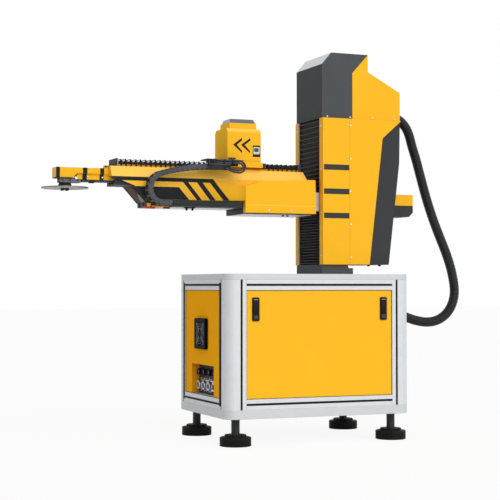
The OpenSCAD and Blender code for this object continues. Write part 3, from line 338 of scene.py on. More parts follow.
# ---------------------------------------------------------------- solids
def turns(count):
    """The angles of evenly spaced steps round a circle."""
    return [2 * pi * k / count for k in range(count)]


def polar(radius, angle, height=0.0):
    return radius * cos(angle), radius * sin(angle), height


def circle(radius, height, sides):
    return [polar(radius, a, height) for a in turns(sides)]


def fluted(radius, depth, height, flutes):
    """A circle with a groove of some depth after each of its flutes."""
    return [polar(radius - depth * (k % 2), a, height) for k, a in enumerate(turns(2 * flutes))]


def rounded(w, h, r, steps=5):
    """A rectangle with round corners about the origin."""
    return [(cx + r * cos(a), cy + r * sin(a))
            for cx, cy, q in ((w / 2 - r, h / 2 - r, 0), (r - w / 2, h / 2 - r, 1),
                              (r - w / 2, r - h / 2, 2), (w / 2 - r, r - h / 2, 3))
            for a in (pi / 2 * (q + i / steps) for i in range(steps + 1))]


def bevelled(bm, width, segments=2):
    """Rounds the edges sharper than 28 degrees."""
    if width > 0:
        edges = [e for e in bm.edges if len(e.link_faces) == 2 and e.calc_face_angle(0) > radians(28)]
        bmesh.ops.bevel(bm, geom=edges, offset=width, offset_type="OFFSET", segments=segments,
                        profile=0.6, affect="EDGES", clamp_overlap=True)
    return bm


def solid(points, faces, bevel=0.0, segments=2):
    bm = bmesh.new()
    verts = [bm.verts.new(p) for p in points]
    for f in faces:
        bm.faces.new([verts[i] for i in f])
    bmesh.ops.recalc_face_normals(bm, faces=bm.faces)
    return bevelled(bm, bevel, segments)


def prism(outline, low, high, axis="Y", bevel=0.6, segments=2):
    """An outline pushed along an axis: (x, z) points for Y, (y, z) for X and (x, y) for Z."""
    def at(p, h):
        return {"Y": (p[0], h, p[1]), "X": (h, p[0], p[1]), "Z": (p[0], p[1], h)}[axis]
    n = len(outline)
    points = [at(p, low) for p in outline] + [at(p, high) for p in outline]
    faces = [list(range(n)), list(range(n, 2 * n))]
    faces += [[i, (i + 1) % n, n + (i + 1) % n, n + i] for i in range(n)]
    return solid(points, faces, bevel, segments)


def box(low, high, bevel=0.6, segments=2):
    return prism([(low[0], low[1]), (high[0], low[1]), (high[0], high[1]), (low[0], high[1])],
                 low[2], high[2], "Z", bevel, segments)


def loft(rings):
    """Joins rings of as many points each into a closed solid."""
    n, last = len(rings[0]), len(rings) - 1
    faces = [[r * n + i, r * n + (i + 1) % n, (r + 1) * n + (i + 1) % n, (r + 1) * n + i]
             for r in range(last) for i in range(n)]
    faces += [list(range(n)), list(range(last * n, last * n + n))]
    return solid([p for ring in rings for p in ring], faces)


def hoop(rings):
    """Joins rings into a closed loop, as a torus."""
    n, m = len(rings[0]), len(rings)
    faces = [[r * n + i, r * n + (i + 1) % n, (r + 1) % m * n + (i + 1) % n, (r + 1) % m * n + i]
             for r in range(m) for i in range(n)]
    return solid([p for ring in rings for p in ring], faces)


def shift(x, y, z):
    return Matrix.Translation((x, y, z))


def flip(x, y):
    """Mirrors x or y where its sign is -1."""
    return Matrix.Diagonal((x, y, 1, 1))


def quarter_turn(axis):
    return Matrix.Rotation(pi / 2, 4, axis)


def facing(side):
    """The direction out of the near (-1) or the far (1) face."""
    return "-Y" if side < 0 else "+Y"


def stand(centre, axis):
    """The matrix that stands local Z along a signed axis, such as -Y, at the centre."""
    axis = Vector([(1 if axis[0] == "+" else -1) * (c == axis[1]) for c in "XYZ"])
    return Matrix.Translation(centre) @ axis.to_track_quat("Z", "Y").to_matrix().to_4x4()


def moved(bm, matrix):
    bmesh.ops.transform(bm, matrix=matrix, verts=bm.verts)
    return bm


def lathe(profile, centre=(0, 0, 0), axis="+Z", sides=32):
    """Turns (radius, height) points round an axis; ends that aren't on the axis are capped."""
    return moved(loft([circle(max(r, 0.01), h, sides) for r, h in profile]), stand(centre, axis))


def torus(radius, wire, centre, axis, sides=72):
    rings = [[polar(radius + wire * cos(b), a, wire * sin(b)) for b in turns(8)] for a in turns(sides)]
    return moved(hoop(rings), stand(centre, axis))


def sweep(path, radii, sides=12):
    """A round tube along a path of points, of one radius or of one for each point."""
    path = [Vector(p) for p in path]
    if not isinstance(radii, list):
        radii = [radii] * len(path)
    rings, across = [], None
    for i, (p, r) in enumerate(zip(path, radii)):
        d = (path[min(i + 1, len(path) - 1)] - path[max(i - 1, 0)]).normalized()
        if across is None:
            across = d.orthogonal().normalized()
        across = (across - d * across.dot(d)).normalized()
        other = d.cross(across)
        rings.append([p + r * (cos(a) * across + sin(a) * other) for a in turns(sides)])
    return loft(rings)


def copies(make, matrices):
    """One mesh with a copy of make() at each matrix."""
    mesh = bpy.data.meshes.new("copy_source")
    source = make()
    source.to_mesh(mesh)
    source.free()
    bm = bmesh.new()
    for m in matrices:
        first_vert, first_face = len(bm.verts), len(bm.faces)
        bm.from_mesh(mesh)
        bm.verts.ensure_lookup_table()
        bm.faces.ensure_lookup_table()
        bmesh.ops.transform(bm, matrix=m, verts=bm.verts[first_vert:])
        if m.determinant() < 0:
            bmesh.ops.reverse_faces(bm, faces=bm.faces[first_face:])
    bpy.data.meshes.remove(mesh)
    return bm


def join(*parts):
    bm = bmesh.new()
    for part in parts:
        mesh = bpy.data.meshes.new("join_source")
        part.to_mesh(mesh)
        part.free()
        bm.from_mesh(mesh)
        bpy.data.meshes.remove(mesh)
    return bm


# A piece whose edges are sharp above this many degrees keeps the plain normals of its faces.
FLAT = 15


def piece(name, body, parts, replaces=(), smooth=32):
    """Makes one object of (mesh, material) parts, in the row frame, and sets it on its body."""
    materials = []
    for part, material in parts:
        if material not in materials:
            materials.append(material)
        for face in part.faces:
            face.material_index = materials.index(material)
    bm = join(*[part for part, _ in parts])
    bmesh.ops.transform(bm, matrix=Matrix.Translation(ORIGIN) @ Matrix.Scale(0.001, 4), verts=bm.verts)
    mesh = bpy.data.meshes.new(name)
    bm.to_mesh(mesh)
    bm.free()
    for material in materials:
        mesh.materials.append(material)
    mesh.polygons.foreach_set("use_smooth", [True] * len(mesh.polygons))
    mesh.set_sharp_from_angle(angle=radians(smooth))
    obj = bpy.data.objects.new(name, mesh)
    scene.collection.objects.link(obj)
    if body and smooth > FLAT:
        obj.modifiers.new("face_area_normals", "WEIGHTED_NORMAL").keep_sharp = True
    if body:
        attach(obj, body)
    if replaces:
        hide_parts(*replaces)
    return obj


def repaint(obj, material, wanted):
    """Gives another material to the faces that wanted(centre, normal) picks; the centre is in millimetres."""
    obj.data.materials.append(material)
    for face in obj.data.polygons:
        if wanted((Vector(face.center) - ORIGIN) * 1000, face.normal):
            face.material_index = len(obj.data.materials) - 1


# Picks the upward slopes that get the paler yellow of painted highlight.
def upward_slope(centre, normal):
    return 0.2 < normal.z < 0.95 and abs(normal.y) > 0.2


BODY_OF = {n: b for b, ns in frame["record"]["behaviour"]["bodies"].items() for n in ns}


def cad_mesh(node):
    """The CAD node's solid in this script's millimetres, with its flat faces whole again."""
    bm = bmesh.new()
    bm.from_mesh(frame["nodes"][node].data)
    bmesh.ops.transform(bm, matrix=Matrix.Scale(1000, 4) @ Matrix.Translation(-ORIGIN), verts=bm.verts)
    bmesh.ops.remove_doubles(bm, verts=bm.verts, dist=0.01)
    bmesh.ops.dissolve_limit(bm, angle_limit=radians(0.6), verts=bm.verts, edges=bm.edges)
    return bm


def dressed(node, material, bevel=0.8, extra=(), segments=2):
    """The node's own shape with rounded edges, and extra (mesh, material) parts on it."""
    return piece(node + "_finish", BODY_OF[node],
                 [(bevelled(cad_mesh(node), bevel, segments), material), *extra], [node])


def cut_at(bm, x, keep_low):
    """The part of a solid on one side of an x."""
    geom = bm.verts[:] + bm.edges[:] + bm.faces[:]
    cut = bmesh.ops.bisect_plane(bm, geom=geom, plane_co=(x, 0, 0), plane_no=(1, 0, 0),
                                 clear_outer=keep_low, clear_inner=not keep_low)
    bmesh.ops.holes_fill(bm, edges=[e for e in cut["geom_cut"] if isinstance(e, bmesh.types.BMEdge)])
    bmesh.ops.recalc_face_normals(bm, faces=bm.faces)
    return bm


# ---------------------------------------------------------------- fasteners
def button_screw(head, high):
    """A button-head screw with a hexagon socket, standing on Z = 0."""
    r, s, sides = head / 2, head * 0.21, 24
    dome = [(r, 0), (r, high * 0.25), (r * 0.93, high * 0.55), (r * 0.75, high * 0.85), (s * 1.35, high)]

    def hexagon(height):
        return [polar(s / cos((a + pi / 6) % (pi / 3) - pi / 6), a, height) for a in turns(sides)]
    return loft([circle(q, h, sides) for q, h in dome] + [hexagon(high), hexagon(high * 0.35)])


def screws(places, axis, head=8.0, high=2.4):
    """Button-head screws at places, with their heads towards the axis."""
    return copies(lambda: button_screw(head, high), [stand(p, axis) for p in places])


def hex_bolt():
    """An M10 bolt's head on its washer, standing on Z = 0."""
    size, high = 10.0, 5.0
    ring = [polar(size / 2 / cos(pi / 6), a)[:2] for a in turns(6)]
    washer = lathe([(size * 0.62, 0), (size * 0.62, 0.8)], sides=24)
    return join(prism(ring, 0.8, high, "Z", size * 0.05), washer)


# ---------------------------------------------------------------- hose
# The centre line in metres, as (x from the cabinet's left face, height), in the middle plane.
HOSE_ROUTE = [(0.838, 1.299), (0.860, 1.296), (0.884, 1.283), (0.908, 1.257), (0.923, 1.224), (0.934, 1.187),
              (0.945, 1.155), (0.956, 1.122), (0.975, 1.058), (0.994, 0.995), (1.015, 0.932), (1.040, 0.867),
              (1.068, 0.803), (1.096, 0.740), (1.119, 0.676), (1.132, 0.620), (1.136, 0.580), (1.131, 0.544),
              (1.115, 0.508), (1.088, 0.478), (1.050, 0.458), (1.004, 0.451), (0.952, 0.458), (0.902, 0.473),
              (0.850, 0.488), (0.803, 0.498)]
HOSE_D = 0.040
HOSE_RIB = 0.006
RIB_SHAPE = (1.0, 0.985, 0.9, 0.985)


def smooth_path(points, step):
    """Points about a step apart along a smooth curve through the given ones, and the curve's length."""
    pts = [Vector(p) for p in points]
    pts = [2 * pts[0] - pts[1]] + pts + [2 * pts[-1] - pts[-2]]
    dense = []
    for i in range(1, len(pts) - 2):
        a, b, c, d = pts[i - 1:i + 3]
        for t in (k / 24 for k in range(24)):
            dense.append(0.5 * (2 * b + (c - a) * t + (2 * a - 5 * b + 4 * c - d) * t * t +
                                (3 * b - a - 3 * c + d) * t ** 3))
    dense.append(pts[-2])
    total = sum((q - p).length for p, q in zip(dense, dense[1:]))
    count = max(2, round(total / step))
    out, walked, j = [dense[0]], 0.0, 0
    for k in range(1, count):
        goal = total * k / count
        while walked + (dense[j + 1] - dense[j]).length < goal:
            walked += (dense[j + 1] - dense[j]).length
            j += 1
        out.append(dense[j].lerp(dense[j + 1], (goal - walked) / (dense[j + 1] - dense[j]).length))
    return out + [dense[-1]], total


hose_points = [(CAB_LEFT + x, 0.0, z) for x, z in HOSE_ROUTE]
hose_path, hose_length = smooth_path(hose_points, HOSE_RIB / 4)
hose_radii = [500 * HOSE_D * RIB_SHAPE[i % 4] for i in range(len(hose_path))]
hose_tube = sweep([(p - ORIGIN) * 1000 for p in hose_path], hose_radii, 24)
hose = piece("corrugated_hose", "frame", [(hose_tube, HOSE)], ["hose"], 50)


def hose_gland(wall_x, route_end):
    """A gland out of a wall: a flange, a fluted ring nut and a collar over the hose's end."""
    length = route_end[0] * 1000 - wall_x
    nut = loft([fluted(26.0, 0.2, 5.0, 24), fluted(27.6, 1.4, 6.5, 24), fluted(27.6, 1.4, length - 8, 24),
                fluted(25.0, 0.2, length - 5, 24)])
    collar = [(24.5, length - 5.2), (24.5, length - 2), (23, length), (20.4, length), (20.4, length - 4)]
    parts = [lathe([(28, 0), (28, 4), (27.2, 5)], sides=48), nut, lathe(collar, sides=48)]
    return moved(join(*parts), stand((wall_x, 0, route_end[1] * 1000), "+X"))


panel_x = span("right_panel")[1].x
piece("hose_gland_nuts", "frame",
      [(hose_gland(COVER_HI.x, HOSE_ROUTE[0]), BLACK), (hose_gland(panel_x, HOSE_ROUTE[-1]), BLACK)],
      ["hose_glands"])

# ---------------------------------------------------------------- cabinet
POST_W, CORNER_R, SLOT_POS, SLOT_W, SLOT_LIP, SLOT_DEEP = 80.0, 40.0, 60.0, 8.0, 0.9, 10
RAIL = PANEL_LO.z - PLATE_HI.z
FRAME_LOW, FRAME_HIGH = PLATE_HI.z, TOP_LO.z
POST_H = FRAME_HIGH - FRAME_LOW

dressed("bottom_plate", CAST, 1.6, segments=3)
dressed("top_plate", CAST, 1.6, segments=3)


def slot_outline(middle):
    """A lipped slot in a face at x = 0, as (x, y) points."""
    half = SLOT_W / 2
    return [(0, middle - half - SLOT_LIP), (SLOT_LIP, middle - half), (SLOT_DEEP, middle - half),
            (SLOT_DEEP, middle + half), (SLOT_LIP, middle + half), (0, middle + half + SLOT_LIP)]


def post_section():
    """The section of the front left post: round outer corner and a lipped slot in each outer face."""
    slot = slot_outline(SLOT_POS)
    corner = [(CORNER_R - CORNER_R * cos(a), CORNER_R - CORNER_R * sin(a))
              for a in (pi / 2 * k / 16 for k in range(17))]
    return ([(1, POST_W), (0, POST_W - 1)] + slot[::-1] + corner + [(y, x) for x, y in slot] +
            [(POST_W - 1, 0), (POST_W, 1), (POST_W, POST_W - 1), (POST_W - 1, POST_W)])


def cover_strip(length):
    """A rubber strip that fills a slot, along Z, with its round face towards -Y."""
    half = SLOT_W / 2 - 0.15
    face = [(-half, 1.0), (-half * 0.85, 0.5), (-half * 0.4, 0.25), (half * 0.4, 0.25), (half * 0.85, 0.5),
            (half, 1.0)]
    return prism(face + [(half, 8), (-half, 8)], 0, length, "Z", 0)


corner_places = [shift(right * CAB_W, (2 * back - 1) * CAB_Y, FRAME_LOW) @ flip(1 - 2 * right, 1 - 2 * back)
                 for right in (0, 1) for back in (0, 1)]
swap_xy = Matrix(((0, 1, 0, 0), (1, 0, 0, 0), (0, 0, 1, 0), (0, 0, 0, 1)))
piece("corner_profiles", "frame",
      [(copies(lambda: prism(post_section(), 0, POST_H, "Z", 0), corner_places), ALU_Z)],
      ["corner_posts"], 24)
strip_m = shift(SLOT_POS, 0, 2)
strip_places = [m @ q for m in corner_places for q in (strip_m, swap_xy @ strip_m)]
piece("post_slot_strips", "frame",
      [(copies(lambda: cover_strip(POST_H - 4), strip_places), RUBBER)], smooth=50)


def shade_band():
    """A flat dark band of painted shade between a post's slot and the side panel, on the post's X face."""
    low, high, out = SLOT_POS + 2.4, POST_W - 1, -0.35
    return prism([(out, low + 0.6), (0, low), (1, low), (1, high), (out, high - 0.6)],
                 RAIL * 0.3, POST_H - RAIL * 0.3, "Z", 0)


piece("post_painted_shade_bands", "frame", [(copies(shade_band, corner_places), RUBBER)])


def rail_section():
    """A rail's section in (y, z): its slotted face at y = 0."""
    c, w = 0.8, RAIL
    return ([(c, 0), (0, c)] + slot_outline(w / 2)
            + [(0, w - c), (c, w), (w - c, w), (w, w - c), (w, c), (w - c, 0)])


long_rails, short_rails = [], []
for z in (FRAME_LOW, FRAME_HIGH - RAIL):
    for side in (-1, 1):
        long_rails.append(shift(POST_W, side * CAB_Y, z) @ flip(1, -side))
        short_rails.append(shift((side + 1) / 2 * CAB_W, POST_W - CAB_Y, z) @ flip(-side, 1) @ swap_xy)
long_len, short_len = CAB_W - 2 * POST_W, 2 * (CAB_Y - POST_W)
piece("long_rail_profiles", "frame",
      [(copies(lambda: prism(rail_section(), 0, long_len, "X", 0), long_rails), ALU_X)], ["rails"], 24)
piece("short_rail_profiles", "frame",
      [(copies(lambda: prism(rail_section(), 0, short_len, "X", 0), short_rails), ALU_Y)], smooth=24)
up_strip = shift(0, 0, RAIL / 2) @ quarter_turn("Y")
piece("rail_slot_strips", "frame",
      [(copies(lambda: cover_strip(long_len), [m @ up_strip for m in long_rails]), RUBBER),
       (copies(lambda: cover_strip(short_len), [m @ up_strip for m in short_rails]), RUBBER)], smooth=50)

# The left panel takes the copy of the yellow with painted shade.
for node, paint in (("front_panel", YELLOW), ("rear_panel", YELLOW), ("right_panel", YELLOW),
                    ("left_panel", SHADED_LEFT_YELLOW)):
    dressed(node, paint, 1.0)


def seal(w, h, matrix):
    """A closed bead along a rectangle in the (x, z) plane."""
    rings = []
    outline = rounded(w, h, 1.5, 3)
    for i, (x, z) in enumerate(outline):
        a, b = outline[i - 1], outline[(i + 1) % len(outline)]
        t = Vector((b[0] - a[0], 0, b[1] - a[1])).normalized()
        side = Vector((t.z, 0, -t.x))
        rings.append([Vector((x, 0, z)) + cos(q) * side + sin(q) * Vector((0, 1, 0)) for q in turns(8)])
    return moved(hoop(rings), matrix)


panel_mid_z = (PANEL_LO.z + PANEL_HI.z) / 2
seal_h, seal_deep = PANEL_HI.z - PANEL_LO.z - 2, 3.4
seal_parts = []
for side in (-1, 1):
    long_m = shift(CAB_W / 2, side * (CAB_Y - seal_deep), panel_mid_z)
    short_m = shift(CAB_W / 2 + side * (CAB_W / 2 - seal_deep), 0, panel_mid_z) @ quarter_turn("Z")
    seal_parts += [seal(long_len - 2, seal_h, long_m), seal(short_len - 2, seal_h, short_m)]
piece("panel_seals", "frame", [(join(*seal_parts), RUBBER)], smooth=60)

# Latches: a framed body, an arched lever over it, a hinge bar and a key button.
# Each part is made lying down, with its height along Y, and stood up on a plane at Y = 0, facing -Y.
LATCH_LO, LATCH_HI = span("latches")
LATCH_W = 29.0
latch_h, latch_t = LATCH_HI.z - LATCH_LO.z, LATCH_HI.y - CAB_Y + 4


def latch():
    body = prism(rounded(LATCH_W, latch_h, 4.5), 0, latch_t * 0.45, "Z", 0.9, 3)
    rings = []
    for s in (k / 12 for k in range(13)):
        y = latch_h * (0.33 - 0.56 * s)
        high = latch_t * (0.42 + 0.56 * sin(pi * min(1, 0.18 + 0.72 * s)) ** 0.7)
        half = (LATCH_W / 2 - 3.2) * (0.94 + 0.06 * sin(pi * s))
        arch = [(half, latch_t * 0.3), (half, high - 1.6), (half - 1.4, high - 0.3), (half * 0.4, high)]
        rings.append([(-x, y, z) for x, z in arch] + [(x, y, z) for x, z in arch[::-1]])
    return moved(join(body, loft(rings)), quarter_turn("X"))


def latch_bar():
    bar = box((-9.2, -1.3, latch_t * 0.3), (9.2, 1.3, latch_t * 0.62), 0.5)
    return moved(bar, quarter_turn("X") @ shift(0, latch_h * 0.405, 0))


def latch_key():
    plate = prism(rounded(15.5, 14, 3.0), latch_t * 0.4, latch_t * 0.62, "Z", 0.5)
    barrel = lathe([(6.4, latch_t * 0.5), (6.4, latch_t * 0.74), (5.8, latch_t * 0.8), (2.6, latch_t * 0.8),
                    (2.4, latch_t * 0.55)], sides=28)
    return moved(join(plate, barrel), quarter_turn("X") @ shift(0, -latch_h * 0.335, 0))


latch_places = [shift(x, side * (CAB_Y - 4), (LATCH_LO.z + LATCH_HI.z) / 2) @ flip(1, -side)
                for x in (LATCH_LO.x + LATCH_W / 2, LATCH_HI.x - LATCH_W / 2) for side in (-1, 1)]
piece("panel_latches", "frame",
      [(copies(latch, latch_places), BLACK), (copies(latch_bar, latch_places), GREY),
       (copies(latch_key, latch_places), CHARCOAL)], ["latches"])

# Fan guard: frame, wire rings on four spokes, blades and hub, made facing up and turned to face -X.
FAN_LO, FAN_HI = span("fan_guard")
fan_w, fan_t = FAN_HI.y - FAN_LO.y, FAN_HI.x - FAN_LO.x
FAN_BORE = 58.5


def fan_frame():
    rings = []
    for x, y in rounded(fan_w, fan_w, 7, 8):
        c, s = x / hypot(x, y), y / hypot(x, y)
        q = FAN_BORE
        rings.append([(x, y, 0), (x, y, fan_t - 1.2), (x - 1.2 * c, y - 1.2 * s, fan_t),
                      (c * (q + 1.5), s * (q + 1.5), fan_t), (c * q, s * q, fan_t - 1.5), (c * q, s * q, 0)])
    return hoop(rings)


def fan_blade():
    rings = []
    for s in (k / 8 for k in range(9)):
        mid, half = 0.34 * s, 0.34 - 0.06 * s
        section = ((mid - half, 1.8), (mid, 3.6), (mid + half, 8.2),
                   (mid + half, 9.0), (mid, 4.6), (mid - half, 2.6))
        rings.append([polar(16 + s * 39, a, h) for a, h in section])
    return loft(rings)


back_wall = lathe([(FAN_BORE - 0.5, 0.2), (FAN_BORE - 0.5, 1.2)], sides=64)
fan_hub = lathe([(19, 1), (19, 8.6), (17.6, 9.6), (6, 9.9)], sides=48)
guard_boss = lathe([(15, fan_t - 2.4), (15.6, fan_t - 1.6), (14.5, fan_t - 0.2), (5, fan_t)], sides=40)
blades = copies(fan_blade, [Matrix.Rotation(a, 4, "Z") for a in turns(7)])
fan = join(fan_frame(), back_wall, fan_hub, guard_boss, blades)
wires = [torus(r, 0.65, (0, 0, fan_t - 1.3), "+Z") for r in (21, 30, 39, 48, 56.5)]
spokes = [sweep([polar(r, pi / 4 + a, fan_t - 2.2) for r in (13, 56)], 1.3, 8) for a in turns(4)]
guard = join(*wires, *spokes)
fan_screws = screws([(x * 52.5, y * 52.5, fan_t - 0.4) for x in (-1, 1) for y in (-1, 1)], "+Z", 6.5, 0.4)
fan_m = stand((FAN_HI.x, 0, (FAN_LO.z + FAN_HI.z) / 2), "-X")
piece("fan_with_guard", "frame",
      [(moved(fan, fan_m), FAN_BLACK), (moved(guard, fan_m), GUARD), (moved(fan_screws, fan_m), METAL)],
      ["fan_guard"])

# Connector bay: its sheet, a dark back plate, a row of round sockets and one of plugs.
BAY_LO, BAY_HI = span("connector_bay")
UPPER_LO, UPPER_HI = span("upper_connectors")
LOWER_LO, LOWER_HI = span("lower_connectors")
# The bay's sheet takes the deeper yellow of painted shade.
dressed("connector_bay", SHADE_DEEP_YELLOW, 0.4)
bay_back, bay_y = UPPER_HI.x, (BAY_HI.y - BAY_LO.y) / 2 - 2
plate_edge = bay_back - 1.6
upper_r = (UPPER_HI.z - UPPER_LO.z) / 2
lower_z = (LOWER_LO.z + LOWER_HI.z) / 2
plug_ys = [(-1.5 + i) * (UPPER_HI.y - upper_r) / 1.5 for i in range(4)]
bay_screws = [(plate_edge, y + dy, lower_z + dz)
              for y in plug_ys for dy in (-17.5, 17.5) for dz in (-24, 24)]
back_plate = box((plate_edge, -bay_y + 0.6, BAY_LO.z + 0.6),
                 (bay_back - 0.05, bay_y - 0.6, BAY_HI.z - 2.6), 0.4)
piece("bay_back_plate", "frame",
      [(back_plate, DARK), (screws(bay_screws, "-X", 6.5, 1.8), SCREW)])


def plug(r, depth):
    """A round connector along +Z: square flange and ribbed ring."""
    flange = prism(rounded(2 * r + 7, 2 * r + 7, 3), 1.6, 3.6, "Z", 0.4)
    profile = [(0.86, 0, 3.4), (0.86, 0, 7), (1, 0.8, 8), (1, 0.8, depth - 1.5), (0.93, 0, depth),
               (0.74, 0, depth), (0.7, 0, depth - 6)]
    return join(flange, loft([fluted(r * share, groove, h, 30) for share, groove, h in profile]))


def plug_insert(r, depth, pins):
    """The insert of a connector, with its pins."""
    core = lathe([(r * 0.68, 4), (r * 0.68, depth - 5), (r * 0.6, depth - 4.4)], sides=28)
    profile = [(1.1, depth - 5), (1.1, depth - 1.8), (0.6, depth - 1.2)]
    return join(core, *[lathe(profile, polar(r * 0.36, a), "+Z", 10) for a in turns(pins)])


def connectors(name, node, low, high, shell_paint, insert_paint, pins):
    """A row of four connectors in the bay."""
    r, depth = (high.z - low.z) / 2, high.x - low.x
    places = [stand((bay_back, y, (low.z + high.z) / 2), "-X") for y in plug_ys]
    piece(name, "frame",
          [(copies(lambda: plug(r, depth), places), shell_paint),
           (copies(lambda: plug_insert(r, depth, pins), places), insert_paint)], [node])


connectors("bay_plugs", "upper_connectors", UPPER_LO, UPPER_HI, BLACK, GREY, 5)
connectors("bay_sockets", "lower_connectors", LOWER_LO, LOWER_HI, SCREW, BLACK, 7)

# Feet: rubber pads with a ribbed edge, threaded studs and lock rings.
PAD_LO, PAD_HI = span("foot_pads")
STUD_HI = span("foot_studs")[1]
PAD_R, PAD_H, COLLAR_R, STUD_R = 60.0, 34.0, 41.5, 16.5
foot_in = PAD_LO.x + PAD_R
foot_places = [shift(x, y, 0) for x in (foot_in, CAB_W - foot_in) for y in (foot_in - CAB_Y, CAB_Y - foot_in)]


def pad():
    r, collar_r, top = PAD_R, COLLAR_R, PAD_HI.z
    profile = [(r - 8, 0), (r - 1.6, 0), (r, 1.6)]
    for z in (5, 11, 17, 23):
        profile += [(r, z), (r - 1.3, z + 1), (r - 1.3, z + 2.4), (r, z + 3.4)]
    profile += [(r, PAD_H - 4), (r - 1.2, PAD_H - 1.4), (r - 4, PAD_H), (collar_r + 3, PAD_H),
                (collar_r + 0.6, PAD_H + 1), (collar_r, PAD_H + 3), (collar_r, top - 1.6),
                (collar_r - 1.6, top), (STUD_R + 5, top), (STUD_R + 3, top - 1.5)]
    return lathe(profile, sides=72)


def stud():
    """A helical thread between the pad and the plate."""
    pitch, deep, sides, rows_per_turn = 3.5, 0.8, 28, 6
    low, high = PAD_HI.z - 1.5, PLATE_LO.z
    rows = round((high - low) / pitch * rows_per_turn)
    rings = []
    for z in (low + (high - low) * i / rows for i in range(rows + 1)):
        radii = [STUD_R - deep * abs(2 * ((z / pitch - k / sides) % 1) - 1) for k in range(sides)]
        rings.append([polar(r, a, z) for r, a in zip(radii, turns(sides))])
    return loft(rings)


def lock_ring():
    """A slim lock ring where a stud enters the plate."""
    r, top = STUD_R + 1.6, STUD_HI.z
    return lathe([(r - 0.8, top - 7), (r, top - 6.2), (r, top - 0.8), (r - 0.8, top)], sides=48)


piece("foot_rubber_pads", "frame", [(copies(pad, foot_places), RUBBER)], ["foot_pads"], 24)
piece("foot_threaded_studs", "frame",
      [(copies(stud, foot_places), METAL), (copies(lock_ring, foot_places), METAL)], ["foot_studs"], 24)

# ---------------------------------------------------------------- column
COLUMN_X = COVER_LO.x
COVER_LOW, COVER_HIGH = COVER_LO.z, COVER_HI.z
COLUMN_Y, COVER_Y = CAP_HI.y, -COVER_LO.y
SEAM_X, SEAM_GAP = COLUMN_X + 118.0, 0.7
FLANGE_SCREW_Z = [COVER_LOW + 35 + 171 * i for i in range(4)]
SEAM_SCREW_Z = [COVER_LOW + 28 + 131.5 * i for i in range(5)]
CAP_SCREW_X = [COLUMN_X + 24 + 100.7 * i for i in range(4)]
BAR_Z = [COVER_LOW + 194 + 96 * i for i in range(3)]
BAR_X, BAR_H, BAR_LEN, BAR_DEPTH = COLUMN_X + 4, 22.0, 112.0, 3.0

PEDESTAL_LO, PEDESTAL_HI = span("pedestal")
bolt_places = [stand((PEDESTAL_HI.x - 11, y, PEDESTAL_LO.z + 25), "+Z") for y in (-92, -34, 34, 92)]
dressed("pedestal", CHARCOAL, 1.2, [(copies(hex_bolt, bolt_places), METAL)])


def slab(x0, x1, side, y0, y1, z0, z1, bevel=0.4):
    """A box between two distances from the middle plane, on the near (-1) or the far (1) side."""
    low, high = sorted((side * y0, side * y1))
    return box((x0, low, z0), (x1, high, z1), bevel)


for side, node in ((-1, "side_cover_front"), (1, "side_cover_rear")):
    seam_screws = screws([(SEAM_X + 4.2, side * COVER_Y, z) for z in SEAM_SCREW_Z], facing(side))
    flange_screws = screws([(COLUMN_X, side * (COVER_Y - 18), z) for z in FLANGE_SCREW_Z], "-X")
    plates = join(bevelled(cut_at(cad_mesh(node), SEAM_X - SEAM_GAP / 2, True), 0.9),
                  bevelled(cut_at(cad_mesh(node), SEAM_X + SEAM_GAP / 2, False), 0.9))
    bars = []
    for z in BAR_Z:
        half, end = BAR_H / 2 - 0.4, BAR_X + BAR_LEN
        bars.append(slab(BAR_X + 0.4, end - 0.8, side, COVER_Y - BAR_DEPTH, COVER_Y - 0.9,
                         z - half, z + half))
        bars += [slab(BAR_X + 1.2, end - 1.6, side, COVER_Y - 1.4, COVER_Y - 0.1, low, low + 4.8, 0.5)
                 for low in (z - 10, z + 5.2)]
    cover = piece(node + "_plates", "frame",
                  [(plates, YELLOW), (join(*bars), DARK), (join(seam_screws, flange_screws), SCREW)],
                  [node], FLAT)
    for face in cover.data.polygons:
        face.use_smooth = face.area < 1e-4


def edge_screws(xs):
    """Screws along the lower edge of the cap and the upper rear cover, on both sides."""
    return join(*[screws([(x, side * COLUMN_Y, COVER_HIGH + 6.5) for x in xs], facing(side))
                  for side in (-1, 1)])


cap = dressed("column_cap", CHARCOAL, 1.4, [(edge_screws(CAP_SCREW_X[:2]), SCREW)])
# The cap's face turned to -X gets painted shade.
repaint(cap, CAP_LEFT_SHADE, lambda c, n: n.x < -0.9)
dressed("rear_cover_upper", YELLOW, 1.2, [(edge_screws(CAP_SCREW_X[2:]), SCREW)])

# A pale plate on the cap's sloping front is a painted reflection of the white surroundings.
slope_low, slope_high = Vector((COLUMN_X, 0, COVER_HIGH + 213)), Vector((COLUMN_X + 42, 0, CAP_HI.z))
along = slope_high - slope_low
slope_m = Matrix.Translation(slope_low + along / 2) @ along.to_track_quat("X", "Z").to_matrix().to_4x4()
slope_reflection = prism(rounded(along.length - 3, 2 * COLUMN_Y - 3, 1.5), 0.05, 0.9, "Z", 0.3)
piece("cap_slope_painted_reflection", "frame", [(moved(slope_reflection, slope_m), PALE)])

# Two rubber buffers stand under the bottom edge of the lower rear cover.
buffers = [lathe([(6, 0), (6, 5), (5, 6.4), (2, 6.6)], (COLUMN_X + dx, 8 - COLUMN_Y, COVER_LOW), "-Z", 20)
           for dx in (210, 259)]
dressed("rear_cover_lower", DARK, 1.2, [(join(*buffers), RUBBER)])
dressed("column_frame", DARK, 0.8)
dressed("guide_rails", STEEL, 0.6)

# A fold of the column's bellows: how far up the fold, and how deep from the ridge (0) to the valley (1).
PLEAT = ((0.0, 1.0), (0.30, 0.55), (0.42, 0.08), (0.5, 0.0), (0.58, 0.06), (0.74, 0.5))


